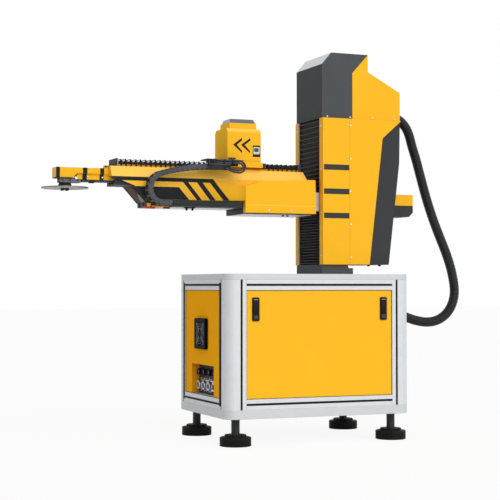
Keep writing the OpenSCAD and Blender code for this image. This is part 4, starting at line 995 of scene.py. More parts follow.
def pleats(low, high, count, seed, spread):
    """The column's bellows between two heights, as the cloth and a thin grey line on each fold's ridge, a
    painted highlight.

    Spread widens the folds towards the top.
    """
    rng = random.Random(seed)
    x_out, x_in, x_back, y_out = COLUMN_X + 1.3, COLUMN_X + 7.6, COLUMN_X + 11.0, COVER_Y - 35.5
    rings, ridge_lines = [], []
    for i in range(count):
        wobble = rng.uniform(-0.3, 0.3)
        for s, deep in PLEAT:
            t = (i + s) / count
            z = low + (high - low) * (t - spread * t * (1 - t))
            x = max(x_out + (x_in - x_out) * deep + (wobble if 0 < s < 0.7 else 0), x_out - 0.6)
            y = y_out - 2.6 * deep
            bow = 0.8 * (1 - deep)
            half = [(x_back, y), (x + 1.2, y), (x, y - 4), (x - bow * 0.4, y / 2)]
            row = [(px, -py, z) for px, py in half] + [(x - bow * 0.5, 0, z)]
            row += [(px, py, z) for px, py in half[::-1]]
            rings.append(row)
            if s == 0.5:
                corners = ((-0.35, -0.45), (-0.35, 0.45), (0.6, 0.45), (0.6, -0.45))
                ridge_line = [[(px + dx, py, z + dz) for dx, dz in corners] for px, py, _ in row[1:-1]]
                ridge_lines.append(loft(ridge_line))
    rings.append([(p[0], p[1], high) for p in rings[0]])
    return loft(rings), join(*ridge_lines)


def column_bellows(name, fixed, follows, pitch, spread):
    """The bellows from its fixed end on the column to the end that follows the carriage."""
    low, high = sorted((fixed, follows))
    count = round((high - low) / pitch)
    cloth, ridge_lines = pleats(low, high, count, 5 + count, spread)
    pleated = piece("column_pleats_" + name, None, [(cloth, CLOTH), (ridge_lines, RIDGE_HIGHLIGHT)],
                    ["column_bellows_" + name], 24)
    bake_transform(pleated)


column_bellows("upper", COVER_HIGH, CARRIAGE_HI.z, 18.2, 0.14)
column_bellows("lower", COVER_LOW, CARRIAGE_LO.z, 10.9, 0.0)

lip_y = span("column_bellows_upper")[1].y + 2
far_lip = box((COLUMN_X - 3.2, lip_y, COVER_LOW + 1), (COLUMN_X + 1.2, lip_y + 1.2, COVER_HIGH - 1), 0.2)
piece("column_edge_lip", "frame", [(far_lip, ALU_Z)])

# ---------------------------------------------------------------- lift: carriage, housing and beam
HOUSE_Y = -HOUSE_LO.y
HOUSING_X = TRAY_LO.x - 10
BEAM_LOW, BEAM_HIGH, RAIL_HIGH = SHELL_LO.z, SHELL_HI.z - 7, SHELL_HI.z
NOSE_X, BASE_LOW = SHELL_LO.x, BASE_LO.z
FLARE_LEN, FLARE_FLAT, BACK_CUT, LEAN = 158.0, 13.0, 19.0, 8

dressed("carriage", ALU_Z, 0.8)


def housing_corner(side):
    """Where the housing's front edge stands at its top; the far half starts later."""
    return HOUSING_X + LEAN + (BACK_CUT if side > 0 else 0)


def flare_y(x, side):
    """How far the flare stands out of the beam's side at an x."""
    s = min(1.0, max(0.0, (x - housing_corner(side) + FLARE_LEN) / (FLARE_LEN - FLARE_FLAT)))
    return s * s * (HOUSE_Y - BEAM_Y - 15)


for side, node in ((-1, "housing_front"), (1, "housing_rear")):
    # The front edge leans in the solid, and stands nearly upright here.
    housing = cad_mesh(node)
    corner, knee_z = housing_corner(side), HOUSE_HI.z - 32
    for v in housing.verts:
        edge = corner - LEAN * (knee_z - v.co.z) / (knee_z - HOUSE_LO.z)
        if abs(v.co.x - edge) < 0.3 and v.co.x < corner:
            v.co.x += 0.85 * (corner - v.co.x)
    places = [(HOUSING_X + dx, side * HOUSE_Y, BEAM_LOW - 35) for dx in (106, 200)]
    shroud = piece(node + "_finish", "lift",
                   [(bevelled(housing, 1.0), YELLOW), (screws(places, facing(side)), SCREW)], [node])
    # Upward slopes of the housing get a painted highlight.
    repaint(shroud, HIGHLIGHT_YELLOW, upward_slope)


tray_knobs = [lathe([(5, 0), (5, 5.5), (4, 6.5)], (HOUSING_X + dx, -60, TRAY_LO.z + 0.4), "-Z", 20)
              for dx in (190, 210)]
tray_sheet = box((TRAY_LO.x + 4, -90, TRAY_LO.z - 1.2), (HOUSE_HI.x - 6, 90, TRAY_LO.z + 0.3), 0.4)
dressed("lift_tray", DARK, 1.0, [(join(*tray_knobs), RUBBER), (tray_sheet, PALE)])

shell = dressed("beam_shell", BEAM_YELLOW, 0.9)
# Upward slopes of the shell get a painted highlight.
repaint(shell, HIGHLIGHT_YELLOW, upward_slope)
repaint(shell, DARK, lambda c, n: c.x < NOSE_X + 137.5 and n.z < -0.1 and c.z < BEAM_HIGH - 38)
# The rail's sides on top of the shell get painted shade.
repaint(shell, RAIL_SHADE_YELLOW, lambda c, n: c.z > BEAM_HIGH + 0.4 and abs(n.y) > 0.8)


def under_base(x0, x1, y0, y1, down, up=0.2, bevel=0.4):
    """A block at the underside of the base, from down below it to up above it."""
    return box((x0, y0, BASE_LOW - down), (x1, y1, BASE_LOW + up), bevel)


# The base has a pale cover sheet under it, a small bar with two knobs and an edge strip whose deeper orange
# yellow is painted shade under the chain.
base_sheet = under_base(BASE_LO.x + 41, TRAY_LO.x - 30, -62, 62, 1.2, 0.3)
base_bar = under_base(-94, -52, -69, -57, 3.6, bevel=0.5)
base_knobs = [lathe([(4.2, 0), (4.2, 7.4), (3.4, 8.6)], (x, -63, BASE_LOW - 3.4), "-Z", 20)
              for x in (-85, -61)]
base_strip = under_base(BASE_LO.x + 3, -159.4, -72.6, -69.8, 1.0, 4.4)
white_foot = under_base(-198.5, -182, -69, -60, 6)
black_foot = under_base(-181.5, -155, -69, -58, 6.4)
dressed("beam_base", DARK, 1.0, [(base_sheet, PALE), (join(base_bar, *base_knobs, black_foot), RUBBER),
                                 (base_strip, SHADE_DEEP_YELLOW), (white_foot, WHITE)])


def decal(outline, side, y_of, lift=0.25, step=6.0):
    """A thin painted shape in (x, z) on a side face that lies at y_of(x) from the middle plane."""
    bm = bmesh.new()
    bm.faces.new([bm.verts.new((x, 0, z)) for x, z in outline])
    xs = [p[0] for p in outline]
    x = min(xs) + step
    while x < max(xs):
        geom = bm.verts[:] + bm.edges[:] + bm.faces[:]
        bmesh.ops.bisect_plane(bm, geom=geom, plane_co=(x, 0, 0), plane_no=(1, 0, 0))
        x += step
    top = bmesh.ops.extrude_face_region(bm, geom=bm.faces[:])
    for v in bm.verts:
        v.co.y = side * (y_of(v.co.x) - 0.05)
    for v in (g for g in top["geom"] if isinstance(g, bmesh.types.BMVert)):
        v.co.y = side * (y_of(v.co.x) + lift)
    # Extruding leaves the order of the faces to chance, so they are made anew in the order of their corners.
    bm.verts.index_update()
    points, faces = [v.co.copy() for v in bm.verts], []
    for face in bm.faces:
        corners = [v.index for v in face.verts]
        first = corners.index(min(corners))
        corners = corners[first:] + corners[:first]
        faces.append(min(corners, corners[:1] + corners[:0:-1]))
    bm.free()
    return solid(points, sorted(faces))


# A dark line runs back along the beam's side from its nose and ends in four slanting stripes.
STRIPE_TOP, STRIPE_LOW, FIELD_TOP, LINE_TOP = 1000.5, 932.6, 980, 1015.4
nose_line = [(NOSE_X + 0.3, LINE_TOP), (20, LINE_TOP), (31, STRIPE_TOP), (NOSE_X + 35, STRIPE_TOP),
             (NOSE_X + 18.2, 1005.4)]
nose_edge = [(NOSE_X + 35, STRIPE_TOP), (NOSE_X + 38, 1001), (NOSE_X + 90.5, 982.2),
             (NOSE_X + 88.5, FIELD_TOP), (NOSE_X + 83.9, 984.3)]
dark_field = [(NOSE_X + 89.0, FIELD_TOP), (-118, FIELD_TOP), (-77, STRIPE_LOW), (NOSE_X + 136.6, STRIPE_LOW)]
slanting = [[(top, STRIPE_TOP), (top_end, STRIPE_TOP), (low_end, STRIPE_LOW), (low, STRIPE_LOW)]
            for top, top_end, low_end, low in ((-102, -81, -25, -45), (-45, -22, 31, 8), (8, 31, 83, 60))]
stripes = [decal(outline, side, lambda x, side=side: BEAM_Y + flare_y(x, side))
           for outline in (nose_line, nose_edge, dark_field, *slanting) for side in (-1, 1)]
piece("beam_side_stripes", "lift", [(join(*stripes), DECAL)], smooth=20)

# The nose: a bronze wear plate and a bright steel plate of painted highlight on its slanting face, and an end
# face with four bolts.
FOOT_X = BASE_LO.x - 14
slant_low = Vector((FOOT_X, 0, BASE_LOW + 16.5))
slant_high = Vector((NOSE_X + 83.7, 0, span("beam_nose")[0].z + 80))
up_slant = (slant_high - slant_low).normalized()
slant_m = Matrix.Translation(slant_low) @ Matrix((
    (0, up_slant.x, -up_slant.z, 0), (-1, 0, 0, 0), (0, up_slant.z, up_slant.x, 0), (0, 0, 0, 1)))


def on_slant(outline, high):
    """A plate on the slanting face: (towards -Y, up the slope) points, standing off by high."""
    return moved(prism(outline, -0.4, high, "Z", 0.4), slant_m)


def at_foot(x0, x1, y0, y1, z0, z1, bevel=0.6):
    """A block by the nose's foot: x from its end face, z from the base's underside."""
    return box((FOOT_X + x0, y0, BASE_LOW + z0), (FOOT_X + x1, y1, BASE_LOW + z1), bevel)


wear = on_slant([(-22, 80), (44, 80), (44, 66), (30, 44), (4, 20), (-8, 30), (-22, 58)], 1.4)
highlight_plate = on_slant([(2, 3), (50, 3), (50, 30), (38, 48), (30, 42), (6, 18)], 1.0)
socket = lathe([(6, -0.3), (6, 2.2), (4.4, 2.8), (3.6, 2.8), (3.4, 1)], sides=28)
socket = moved(socket, slant_m @ shift(46, 74, 0))
rims = [on_slant([(s * 56, 2), (s * 51.5, 2), (s * 51.5, 83), (s * 56, 83)][::s], 2.2) for s in (-1, 1)]
end_bolts = screws([(FOOT_X - 1.4, y, BASE_LOW + z) for y in (-24, 24) for z in (4.4, 12.2)], "-X", 8.6, 2.6)
dressed("beam_nose", DARK, 0.0, [
    (wear, BRONZE), (highlight_plate, TOOL_STEEL), (socket, BLACK), (join(*rims), DECAL),
    (at_foot(-1.4, 0.3, -52, 52, 0.5, 16, 0.5), CHARCOAL), (end_bolts, BLACK),
    (at_foot(-6, 8, -68, -56.4, 22, 52, 1.0), CHARCOAL),
    (at_foot(-4, 6, -69.4, -58, 50, 60, 0.8), GREY),
    (at_foot(1, 13.6, -68, -56.6, 0.6, 14), YELLOW),
    (at_foot(-13, 34, -62, -44, -7, 0.2), CRIMSON),
    (at_foot(34, 45, -61, -46, -6.4, 0.2, 0.5), PALE)])

dressed("beam_tail_top", YELLOW, 1.2)
dressed("beam_tail_base", DARK, 1.2)

CHAIN_TRAY_LO, CHAIN_TRAY_HI = span("chain_tray")
tray_rivets = screws([(x, CHAIN_TRAY_LO.y, CHAIN_TRAY_HI.z - 8) for x in (-140, -72, -4, 64)], "-Y", 5.5, 0.6)
dressed("chain_tray", COATED, 0.4, [(tray_rivets, DARK)])

ENDS_LO, ENDS_HI = span("bellows_end_plates")
MOVING_LO, MOVING_HI = span("bellows_frame")
END_Y = ENDS_HI.y


def end_line(x0, x1, low, high):
    """A thin line over the edge of a bellows' end plate."""
    return box((x0, -END_Y - 0.5, low), (x1, END_Y + 0.5, high + 0.4), 0.4)


front_line = end_line(ENDS_LO.x + 5.6, ENDS_LO.x + 9.0, BEAM_HIGH + 0.6, ENDS_HI.z)
rear_line = end_line(ENDS_HI.x - 12.4, ENDS_HI.x - 7.6, BEAM_HIGH + 0.6, ENDS_HI.z)
front_bolts = screws([(ENDS_LO.x, y, BEAM_HIGH + 9) for y in (-42, -14, 14, 42)], "-X", 6, 1.6)
dressed("bellows_end_plates", DARK, 0.6, [(front_line, GREY), (rear_line, CHARCOAL), (front_bolts, METAL)])

# A small folded lug with a screw stands on the far front corner of the shell.
lug = join(box((NOSE_X + 1, END_Y - 6, BEAM_HIGH - 0.5), (NOSE_X + 20, END_Y + 8, BEAM_HIGH + 1.5), 0.4),
           box((NOSE_X + 2, END_Y + 2, BEAM_HIGH + 1), (NOSE_X + 30, END_Y + 4, BEAM_HIGH + 9), 0.4))
lug_screw = screws([(NOSE_X + 10, END_Y - 1, BEAM_HIGH + 1.4)], "+Z", 9, 5.5)
piece("shell_corner_lug", "lift", [(lug, YELLOW), (lug_screw, BLACK)])
moving_line = end_line(MOVING_HI.x - 5, MOVING_HI.x - 0.4, RAIL_HIGH + 3.2, MOVING_HI.z)
dressed("bellows_frame", DARK, 0.6, [(moving_line, CHARCOAL)])


def arm_folds(x_from, x_to, count, low, high, half):
    """The arm's bellows along X: sharp folds across the top that run down both sides.

    Returns the cloth and its painted glints: thin pale plates on the side of each fold that faces -X.
    """
    rng = random.Random(3 + count)
    step = (x_to - x_from) / count
    cloth, glint = [], []
    for i in range(count):
        x0 = x_from + step * i
        tall = rng.uniform(-0.9, 0.0)
        peak = min(x0 + step * (0.56 + rng.uniform(-0.04, 0.04)), x_to - 2)
        top, valley = high + tall, low + 3.4
        rows = [(x0, valley, half - 5.5), (x0 + step * 0.2, valley + 2.0, half - 4),
                (peak - 1.3, top - 1.6, half - 0.4), (peak, top, half),
                (peak + 1.2, top - 1.2, half - 0.2), (x0 + step * 0.84, valley + 1.6, half - 4.6),
                (x0 + step, valley, half - 5.5)]
        rings = []
        for x, z, y in rows:
            side_points = [(y, low - 0.2), (y, z - 4), (y - 3, z - 0.6)]
            rings.append([(x, -py, pz) for py, pz in side_points] + [(x, 0, z)] +
                         [(x, py, pz) for py, pz in side_points[::-1]])
        cloth.append(loft(rings))
        for side in (-1, 1):
            cloth.append(slab(peak - 3.2, peak + 2.6, side, half + 2.25, half + 3.4,
                              low - 6.4, low + 2.4, 0.3))
            cloth.append(slab(peak - 2.0, peak + 1.5, side, half - 1.5, half + 3.4,
                              low + 1.2, low + 4.5, 0.3))
        a, b = Vector((x0 + step * 0.30, 0, valley + 3.6)), Vector((peak - 2.4, 0, top - 3.4))
        n = Vector((a.z - b.z, 0, b.x - a.x)).normalized() * 0.35
        for y0, y1 in ((-half + 8, -half + 34), (half - 34, half - 8)):
            face = [(p.x + n.x, y, p.z + n.z) for p in (a, b) for y in (y0, y1)]
            glint.append(solid([(p[0] - 2 * n.x, p[1], p[2] - 2 * n.z) for p in face] + face,
                               [[0, 1, 3, 2], [4, 5, 7, 6], [0, 1, 5, 4],
                                [1, 3, 7, 5], [3, 2, 6, 7], [2, 0, 4, 6]]))
    return join(*cloth), join(*glint)


# The front bellows get painted glints on their folds; the rear bellows' are plain cloth.
for name, count, glint_paint in (("front", 22, GLINT_WHITE), ("rear", 7, CLOTH)):
    low, high = span("arm_bellows_" + name)
    cloth, glint = arm_folds(low.x + 0.3, high.x - 0.3, count, low.z, high.z, high.y)
    folds = piece("arm_folds_" + name, None, [(cloth, CLOTH), (glint, glint_paint)],
                  ["arm_bellows_" + name], 24)
    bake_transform(folds)

# ---------------------------------------------------------------- drag chain
CHAIN_H, LOW_R, HIGH_R, SAG_R, SLOPE = 22.0, 52.0, 63.0, 880.0, 15.5
CHAIN_START, CHAIN_END, LINK_LEN = 20.0, 5.0, 20
chain_near, chain_far = CHAIN_LO.y, CHAIN_HI.y
low_c = Vector((CHAIN_LO.x + CHAIN_H / 2 + LOW_R, CHAIN_LO.z + CHAIN_H / 2 + LOW_R))
high_c = Vector((low_c.x + HIGH_R - LOW_R, low_c.y))
leave = radians(90 + SLOPE)
sag_c = high_c + (HIGH_R - SAG_R) * Vector((cos(leave), sin(leave)))
sag_end = acos((CHAIN_END - sag_c.x) / SAG_R)

# The chain's centre line after its straight lower run: (centre, radius, first angle, last angle) of each arc.
straight_len = CHAIN_START - low_c.x
ARCS = ((low_c, LOW_R, -pi / 2, -pi), (high_c, HIGH_R, pi, leave), (sag_c, SAG_R, leave, sag_end))
arc_lens = [r * (a0 - a1) for _, r, a0, a1 in ARCS]
chain_len = straight_len + sum(arc_lens)
LINKS = round(chain_len / LINK_LEN)
link_step = chain_len / LINKS


def chain_at(s):
    """The point and the direction of the chain's centre line at a length s from its lower end, in (x, z)."""
    if s <= straight_len:
        return Vector((CHAIN_START - s, low_c.y - LOW_R)), Vector((-1, 0))
    s -= straight_len
    for (centre, r, a0, a1), length in zip(ARCS, arc_lens):
        if s <= length:
            break
        s -= length
    else:
        s = length
    a = a0 + (a1 - a0) * (s / length)
    return centre + r * Vector((cos(a), sin(a))), Vector((sin(a), -cos(a)))


def link_frame(i):
    """Stands a link's own frame (X along the chain, Y across it, Z out of the bend) at joint i."""
    a, b = chain_at(i * link_step)[0], chain_at((i + 1) * link_step)[0]
    d = (b - a).normalized()
    return Matrix(((d.x, 0, d.y, a.x), (0, -1, 0, 0), (d.y, 0, -d.x, a.y), (0, 0, 0, 1)))


def side_plate(side, outer, inner, start, end, half):
    """A link's side plate with round ends, between two distances from the chain's middle."""
    y0, y1 = sorted((side * outer, side * inner))
    bend = [(half * (1 - cos(a)), -half * sin(a)) for a in (pi * (k / 8 - 0.5) for k in range(9))]
    return prism([(start + x, z) for x, z in bend] + [(end - x, -z) for x, z in bend], y0, y1, "Y", 0.35, 1)


def link(inner):
    """One link's inner plates, or its outer plates with their pins and the bars above and below."""
    half = CHAIN_H / 2 - 0.7
    w = (chain_far - chain_near) / 2
    if inner:
        parts = [side_plate(s, w - 3.0, w - 5.6, link_step * 0.2, link_step + half * 0.86, half - 0.6)
                 for s in (-1, 1)]
    else:
        parts, pin = [], [(3.4, 0), (3.4, 0.5), (2.6, 0.9), (1.2, 0.9), (1.0, 0.3)]
        for s in (-1, 1):
            parts += [side_plate(s, w - 0.4, w - 3.0, -half * 0.86, link_step * 0.6, half),
                      lathe(pin, (0, s * (w - 0.6), 0), facing(s), 20)]
        parts += [box((link_step * 0.24, 2.6 - w, z), (link_step * 0.70, w - 2.6, z + 2.8), 0.6)
                  for z in (0.3 - CHAIN_H / 2, CHAIN_H / 2 - 3.1)]
    return moved(join(*parts), shift(0, (chain_near + chain_far) / -2, 0))


def chain_cable(y, radius, out):
    """A cable inside the chain, at a y and a little out of the centre line."""
    steps = [chain_at(chain_len * (0.004 + 0.992 * k / 96)) for k in range(97)]
    return sweep([(p.x - d.y * out, y, p.y + d.x * out) for p, d in steps], radius, 10)


def chain_foot(x, z):
    """A plate at the chain's fixed end: its first x, and its top over the chain's underside."""
    return box((x, chain_near + 5, CHAIN_LO.z + 0.2),
               (CHAIN_START - 0.4, chain_far - 5, CHAIN_LO.z + z), 0.5)


links, inner_links = [copies(lambda: link(inner), [link_frame(i) for i in range(LINKS)])
                      for inner in (False, True)]
chain_cables = [chain_cable(-108, 4.6, -1.5), chain_cable(-97, 5.2, 1.0), chain_cable(-87, 3.8, -2.0)]
piece("chain_links", "chain",
      [(links, LINK), (inner_links, INNER_LINK), (join(*chain_cables), CABLE),
       (join(chain_foot(-7, 3.2), chain_foot(16.4, 17)), METAL)], ["drag_chain"], 35)

# ---------------------------------------------------------------- motor box, display and chain bracket
MOTOR_END = MOVING_LO.x - 8.5
MOTOR_Y = MOTOR_HI.y
SEAM_LOW, SEAM_HIGH = 1090.8, 1091.5

# Each chevron as (x, z): its tip, the upper arm's end, the notch and the lower arm's end.
CHEVRONS = ([(105.4, 1153), (141.2, 1180.6), (143.4, 1171.2),
             (120.8, 1153), (143.0, 1129.4), (142.0, 1121.4)],
            [(138.8, 1153.4), (176.8, 1181.0), (178.6, 1171.8),
             (154.0, 1153.4), (177.0, 1129.2), (176.0, 1121.2)])
marks = [decal(outline, s, lambda x: MOTOR_Y, 0.2, 50) for outline in CHEVRONS for s in (-1, 1)]
seams = [box((MOTOR_LO.x - 0.15, y - 0.18, SEAM_LOW), (MOTOR_END + 0.15, y + 0.18, SEAM_HIGH), 0)
         for y in (-MOTOR_Y, MOTOR_Y)]
seams += [box((x - 0.18, -MOTOR_Y, SEAM_LOW), (x + 0.18, MOTOR_Y, SEAM_HIGH), 0)
          for x in (MOTOR_LO.x, MOTOR_END)]
gland_outline = [(84.8, 1093.8), (114.2, 1093.8), (116.2, 1096), (115.4, 1100.4), (111.6, 1103.2),
                 (84.8, 1103.2)]
gland_body = prism(gland_outline, -MOTOR_Y - 3.2, -MOTOR_Y + 0.4, "Y", 1.0)
gland_rings = [torus(3.6, 0.9, (x, -MOTOR_Y - 3.0, 1098.4), "-Y", 24) for x in (91, 101, 110.5)]
box_screws = screws([(MOTOR_END, y, z) for y in (-56, 56) for z in (1100, MOTOR_HI.z - 60)], "+X", 7, 2.0)
motor = dressed("motor_box", YELLOW, 1.6, [
    (join(*marks), DECAL), (join(*seams), BRONZE), (join(gland_body, *gland_rings), BLACK),
    (box_screws, SCREW)], 3)
# The motor box's faces turned to -X get the lighter yellow of painted light.
repaint(motor, MOTOR_LEFT_LIT_YELLOW, lambda c, n: n.x < -0.5)
# Upward slopes on the motor box's near side get a painted highlight.
repaint(motor, HIGHLIGHT_YELLOW, lambda c, n: 0.2 < n.z < 0.95 and n.y < -0.2)
cap_seam = box((MOTOR_CAP_LO.x - 1.2, MOTOR_CAP_LO.y - 1.2, MOTOR_CAP_LO.z),
               (MOTOR_CAP_HI.x + 1.2, MOTOR_CAP_HI.y + 1.2, MOTOR_CAP_LO.z + 1.1), 0.3)
cap_ribs = [box((x, -30, MOTOR_CAP_HI.z - 0.9), (x + 2, 30, MOTOR_CAP_HI.z - 0.02), 0)
            for x in (MOTOR_CAP_LO.x + 9 + 6 * k for k in range(16))]
motor_cap = dressed("motor_cap", CAP_GREY, 1.2, [(join(cap_seam, *cap_ribs), DARK)])
# The cap's slopes turned to -X and up get a painted reflection of the white surroundings.
repaint(motor_cap, CAP_REFLECTION_GREY, lambda c, n: n.x < -0.5 and n.z > 0.1)

# The display stands in a recess of the motor box: a hood round three sides, a bezel, a screen and four keys.
DISPLAY_LO, DISPLAY_HI = span("display")
front_y, back_y = DISPLAY_LO.y, DISPLAY_HI.y
hood_left, hood_right = DISPLAY_LO.x - 3, DISPLAY_HI.x + 3
hood_low, hood_high = DISPLAY_LO.z - 3, DISPLAY_HI.z + 3
back = box((hood_left + 0.2, back_y - 2.4, hood_low + 0.2),
           (hood_right - 0.2, back_y - 0.02, hood_high - 0.2), 0.2)


def hood_wall(left, right, low, high):
    """A wall of the hood, from just inside the motor box's face to the back."""
    return box((left, 0.8 - MOTOR_Y, low), (right, back_y, high), 0.1)


hood = [hood_wall(hood_left + 0.1, hood_right - 3.2, hood_low + 0.05, hood_low + 1.2),
        hood_wall(hood_left + 0.1, hood_right - 3.2, hood_high - 1.2, hood_high - 0.05),
        hood_wall(hood_left + 0.05, hood_left + 1.2, hood_low + 0.1, hood_high - 0.1)]
screen_x, screen_z = 205.8, 1133.0
bezel_m = stand((screen_x, front_y + 3.9, screen_z), "-Y")
bezel = moved(prism(rounded(25, 28.4, 2.4), 0, 3.8, "Z", 0.5), bezel_m)
glass = box((screen_x - 10.4, front_y - 0.02, screen_z - 5.6),
            (screen_x + 9.0, front_y + 0.5, screen_z + 10.4), 0.15)
pixels = [box((x - 8.6, front_y - 0.12, z - 3.8), (x - 6.2, front_y + 0.2, z - 0.6), 0)
          for x in (screen_x + 3.4 * k for k in range(5)) for z in (screen_z + 4.4 * k for k in range(3))]
key = [(1.5, 0), (1.5, 0.5), (1.1, 0.8)]
keys = [lathe(key, (screen_x - 7.5 + 5 * k, front_y + 0.1, screen_z - 10), "-Y", 16) for k in range(4)]
piece("display_unit", "arm",
      [(join(back, *hood), BLACK), (bezel, WHITE), (glass, SCREEN), (join(*pixels), DARK),
       (join(*keys), BLACK)], ["display"])

BRACKET_LO, BRACKET_HI = span("chain_bracket")
skirt_y, bracket_top = BRACKET_LO.y, BRACKET_HI.z
# Two lip strips on the bracket's skirt, whose lighter grey is a painted highlight along its edges.
lip = box((-15.6, skirt_y - 0.5, 1067.5), (72.6, skirt_y + 1.5, 1076), 0.4)
plate_lip = box((BRACKET_LO.x + 0.5, skirt_y - 0.5, bracket_top - 3.4),
                (BRACKET_HI.x - 0.5, skirt_y + 1, bracket_top - 0.4), 0.3)
top_places = [(-18, -100), (30, -100), (70, -100), (92, -84), (114, -84)]
bracket_bolts = join(screws([(x, y, bracket_top) for x, y in top_places], "+Z"),
                     screws([(-6, skirt_y, 1054), (64, skirt_y, 1066)], "-Y", 6.5, 1.8))
dressed("chain_bracket", COATED, 0.5, [(join(lip, plate_lip), EDGE_HIGHLIGHT_GREY), (bracket_bolts, METAL)])

# Two cables leave the bracket's skirt, bend back in a loop and run on through clips and ties.
LOOP_X, LOOP_Z, CABLE_Y, CABLE_R = 108.0, bracket_top - 27, skirt_y - 4.0, 3.95
cables, grommets = [], []
for r, enters in ((14, 50), (23, 62)):
    x, bend_x = LOOP_X - enters, LOOP_X - 4
    path = [(x, skirt_y + 5, LOOP_Z - r * 0.25), (x + 6, skirt_y + 0.5, LOOP_Z - r * 0.33),
            (LOOP_X - enters * 0.72, CABLE_Y, LOOP_Z - r * 0.55),
            (LOOP_X - enters * 0.42, CABLE_Y, LOOP_Z - r * 0.86)]
    path += [(bend_x + (r + 4) * cos(a), CABLE_Y, LOOP_Z + r * sin(a))
             for a in (pi * (k / 20 - 0.5) for k in range(21))]
    path += [(bend_x - 134 * k / 16, CABLE_Y, LOOP_Z + r) for k in range(1, 17)]
    cables.append(sweep(smooth_path(path, 2.5)[0], CABLE_R, 14))
    grommet = [(6.4, 0), (6.4, 1.6), (5.2, 2.6), (4.2, 2.6)]
    grommets.append(lathe(grommet, (x + 4, skirt_y, LOOP_Z - r * 0.31), "-Y", 24))


def over_cables(x0, x1, y_off, y_in, low, high, bevel, segments=2):
    """A clip or a tie round both cables: y_off from the loop's front, y_in from the skirt."""
    return box((x0, loop_y + y_off, LOOP_Z + low), (x1, skirt_y + y_in, LOOP_Z + high), bevel, segments)


loop_y = span("cable_loop")[0].y + 0.1
clips = [over_cables(-29.6, 11.6, 0, 0.1, 9.8, 27.0, 1.6, 3)]
clips += [over_cables(x, x + 6, 0.6, 0.1, 9.6, 27.3, 1.2) for x in (40, 74)]
ties = [over_cables(x, x + 2.6, -0.1, -0.1, 9.4, 27.6, 0.8) for x in (-20, 2)]
piece("looped_cables", "arm",
      [(join(*cables), CABLE), (join(*clips, *grommets), BLACK), (join(*ties), CHARCOAL)], ["cable_loop"], 40)

# ---------------------------------------------------------------- forearm and tool
STRIP_LO, STRIP_HI = span("forearm_strip")
HOLDER_LO, HOLDER_HI = span("tool_bracket")
TIP_X, ARM_Y, ARM_TOP, KEEL_LOW = ARM_LO.x, ARM_HI.y, ARM_HI.z, ARM_LO.z
STEP_Z, TIP_LOW, KEEL_Y = ARM_TOP - 21, ARM_TOP - 38, 21.0


def band(x0, x1, section, grow=0.3):
    """A band round the arm: a (y, z) section grown a little, from one x to another."""
    middle = (ARM_TOP + section[0][1]) / 2
    return prism([(y + grow * (1 if y > 0 else -1), z + (grow if z > middle else -grow)) for y, z in section],
                 x0, x1, "X", 0.25, 1)


tip_section = [(-ARM_Y, TIP_LOW), (ARM_Y, TIP_LOW), (ARM_Y, ARM_TOP), (-ARM_Y, ARM_TOP)]
half_section = [(KEEL_Y, KEEL_LOW), (KEEL_Y, STEP_Z - 6), (ARM_Y, STEP_Z), (ARM_Y, ARM_TOP)]
arm_section = [(-KEEL_Y, KEEL_LOW)] + half_section + [(-y, z) for y, z in half_section[:0:-1]]
bands = [band(TIP_X + 0.2, TIP_X + 14.8, tip_section), band(-486.6, -469, arm_section),
         band(-419.5, -403.4, arm_section)]
screw_places = [(-465.4, KEEL_LOW + 10)] + [(x, KEEL_LOW + 9.8) for x in (-408.0, -300, -180)]
arm_screws = screws([(x, s * KEEL_Y, z) for x, z in screw_places for s in (-1, 1)], "-Y")
round_end = [(5.2, 0), (5.2, 6), (4.4, 7.4), (2.2, 7.4), (2.0, 5)]
round_ends = [lathe(round_end, (-511.5, s * 18.4, TIP_LOW - 0.6), facing(s), 24) for s in (-1, 1)]
dressed("forearm", YELLOW, 1.4, [(join(*bands), DECAL), (join(arm_screws, *round_ends), SCREW)], 3)

grooves = [box((STRIP_LO.x + 6, y - 0.25, STRIP_LO.z + 3.1), (STRIP_HI.x - 1, y + 0.25, STRIP_LO.z + 4.3), 0)
           for y in (-18, 18)]
strip_knobs = [lathe([(6, 0), (6, 3), (5, 4)], (x, 0, STRIP_LO.z + 0.2), "-Z", 24) for x in (-451, -441)]
knob_block = box((-457, -19.2, STRIP_LO.z + 1.2), (-436, 19.2, STRIP_LO.z + 6), 0.6)
dressed("forearm_strip", CHARCOAL, 0.7, [(join(*grooves, knob_block, *strip_knobs), BLACK)])

under_tip = box((TIP_X + 2.6, -ARM_Y + 1.6, TIP_LOW - 2.4), (TIP_X + 65.5, ARM_Y - 1.6, TIP_LOW + 0.2), 0.5)
front_plate = box((HOLDER_LO.x - 0.9, -16.4, HOLDER_LO.z + 1), (HOLDER_LO.x + 3.4, 16.4, TIP_LOW - 1), 0.6)
side_bolts = [screws([(HOLDER_LO.x + dx, s * HOLDER_HI.y, HOLDER_LO.z + 9) for dx in (12, 40, 70)],
                     facing(s), 6.4, 1.6) for s in (-1, 1)]
dressed("tool_bracket", TOOL_STEEL, 0.8, [(join(under_tip, front_plate), DARK), (join(*side_bolts), METAL)])

DISC_X, DISC_LOW, DISC_R, DISC_T = (DISC_LO.x + DISC_HI.x) / 2, DISC_LO.z, (DISC_HI.x - DISC_LO.x) / 2, 5.0
HUB_BORE, HUB_LOW = 8.2, HUB_LO.z
hub_h = HUB_HI.z - HUB_LOW
hub = lathe([(HUB_BORE, 0), (26.6, 0), (27.2, 0.8), (27.2, 3.6), (26.6, 4.2), (26.0, 4.4), (25.4, 5),
             (23.4, 12.6), (23.4, 13.0), (22.5, 13.4), (22.5, hub_h), (HUB_BORE, hub_h)],
            (DISC_X, 0, HUB_LOW), "+Z", 72)
hub_line = torus(26.4, 0.55, (DISC_X, 0, HUB_LOW + 4.6), "+Z")
piece("hub_housing", "arm", [(hub, BLACK), (hub_line, METAL)], ["tool_hub"], 30)

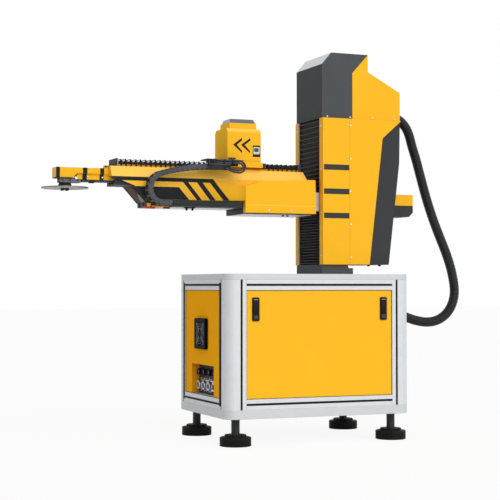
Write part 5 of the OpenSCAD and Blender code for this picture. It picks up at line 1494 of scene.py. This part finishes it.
boss_h = DISC_HI.z - DISC_LOW
plate = lathe([(8, 0.9), (14, 0.9), (15, 0), (DISC_R - 2.2, 0), (DISC_R - 0.8, 0.5), (DISC_R, 1.8),
               (DISC_R, DISC_T - 1.4), (DISC_R - 0.8, DISC_T), (DISC_R - 3, DISC_T), (8, DISC_T),
               (8, boss_h - 1), (7, boss_h)], (DISC_X, 0, DISC_LOW), "+Z", 128)
rim_ring = torus(DISC_R - 0.75, 0.7, (DISC_X, 0, DISC_LOW + DISC_T - 1.0), "+Z", 128)
bolt_holes = [lathe([(3.3, -0.25), (3.3, 0.0), (2.6, 0.1)], (DISC_X + x, y, DISC_LOW), "+Z", 24)
              for x, y, _ in (polar(31.5, pi / 4 + a) for a in turns(4))]
centre_bolts = screws([(DISC_X + dx, y, DISC_LOW + 0.9) for y in (-9, 9) for dx in (-8.5, 8.5)],
                      "-Z", 12.5, 9.0)
piece("tool_plate", "tool",
      [(plate, DISC), (rim_ring, METAL), (join(*bolt_holes, centre_bolts), BLACK)], ["tool_disc"], 30)

# ---------------------------------------------------------------- stage and light
def shown_to_the_eye(tree, share=None):
    """A socket that is 1 (or the share) for what the camera sees, also in a reflection or through glass."""
    rays = tree.nodes.new("ShaderNodeLightPath")
    seen = rays.outputs["Is Camera Ray"]
    for ray in ("Is Glossy Ray", "Is Transmission Ray"):
        either = tree.nodes.new("ShaderNodeMath")
        either.operation = "MAXIMUM"
        tree.links.new(seen, either.inputs[0])
        tree.links.new(rays.outputs[ray], either.inputs[1])
        seen = either.outputs[0]
    if share is not None:
        part = tree.nodes.new("ShaderNodeMath")
        part.operation = "MULTIPLY"
        part.inputs[1].default_value = share
        tree.links.new(seen, part.inputs[0])
        seen = part.outputs[0]
    return seen


def show_mixed(tree, factor, lighting, shown, output):
    """Mixes what lights the scene with what the camera is shown, by a factor that is 1 for the second."""
    blend = tree.nodes.new("ShaderNodeMixShader")
    for i, socket in enumerate((factor, lighting.outputs[0], shown.outputs[0])):
        tree.links.new(socket, blend.inputs[i])
    tree.links.new(blend.outputs[0], tree.nodes[output].inputs["Surface"])


# The floor and the world look white to the camera; they light the machine with less.
FLOOR_HALF, FLOOR_GREY, FLOOR_SHARE, WORLD_LIGHT = 30, 0.93, 0.9, 0.51
floor_mesh = bpy.data.meshes.new("studio_floor")
floor_bm = bmesh.new()
bmesh.ops.create_grid(floor_bm, x_segments=4, y_segments=4, size=FLOOR_HALF)
floor_bm.to_mesh(floor_mesh)
floor_bm.free()
floor = bpy.data.objects.new("studio_floor", floor_mesh)
scene.collection.objects.link(floor)
floor_material = bpy.data.materials.new("studio_floor")
floor_material.use_nodes = True
tree = floor_material.node_tree
diffuse = tree.nodes["Principled BSDF"]
diffuse.inputs["Base Color"].default_value = (FLOOR_GREY, FLOOR_GREY, FLOOR_GREY, 1)
diffuse.inputs["Roughness"].default_value = 0.9
diffuse.inputs["Specular IOR Level"].default_value = 0.0
glow = tree.nodes.new("ShaderNodeEmission")
glow.inputs["Color"].default_value = (1, 1, 1, 1)
glow.inputs["Strength"].default_value = 1.0
show_mixed(tree, shown_to_the_eye(tree, FLOOR_SHARE), diffuse, glow, "Material Output")
floor_mesh.materials.append(floor_material)

world = bpy.data.worlds.new("studio")
scene.world = world
world.use_nodes = True
tree = world.node_tree
backdrop = tree.nodes["Background"]
white = tree.nodes.new("ShaderNodeBackground")
for node, strength in ((backdrop, WORLD_LIGHT), (white, 1.0)):
    node.inputs["Color"].default_value = (1, 1, 1, 1)
    node.inputs["Strength"].default_value = strength
show_mixed(tree, shown_to_the_eye(tree), backdrop, white, "World Output")

# A soft sun; its direction points from the machine to the light.
SUN_FROM = (0.20, -0.86, 0.58)
sun_data = bpy.data.lights.new("key_light", "SUN")
sun_data.energy = 1.74
sun_data.angle = radians(70)
sun = bpy.data.objects.new("key_light", sun_data)
sun.rotation_euler = Vector(SUN_FROM).to_track_quat("Z", "Y").to_euler()
scene.collection.objects.link(sun)
scene.view_settings.view_transform = "Standard"
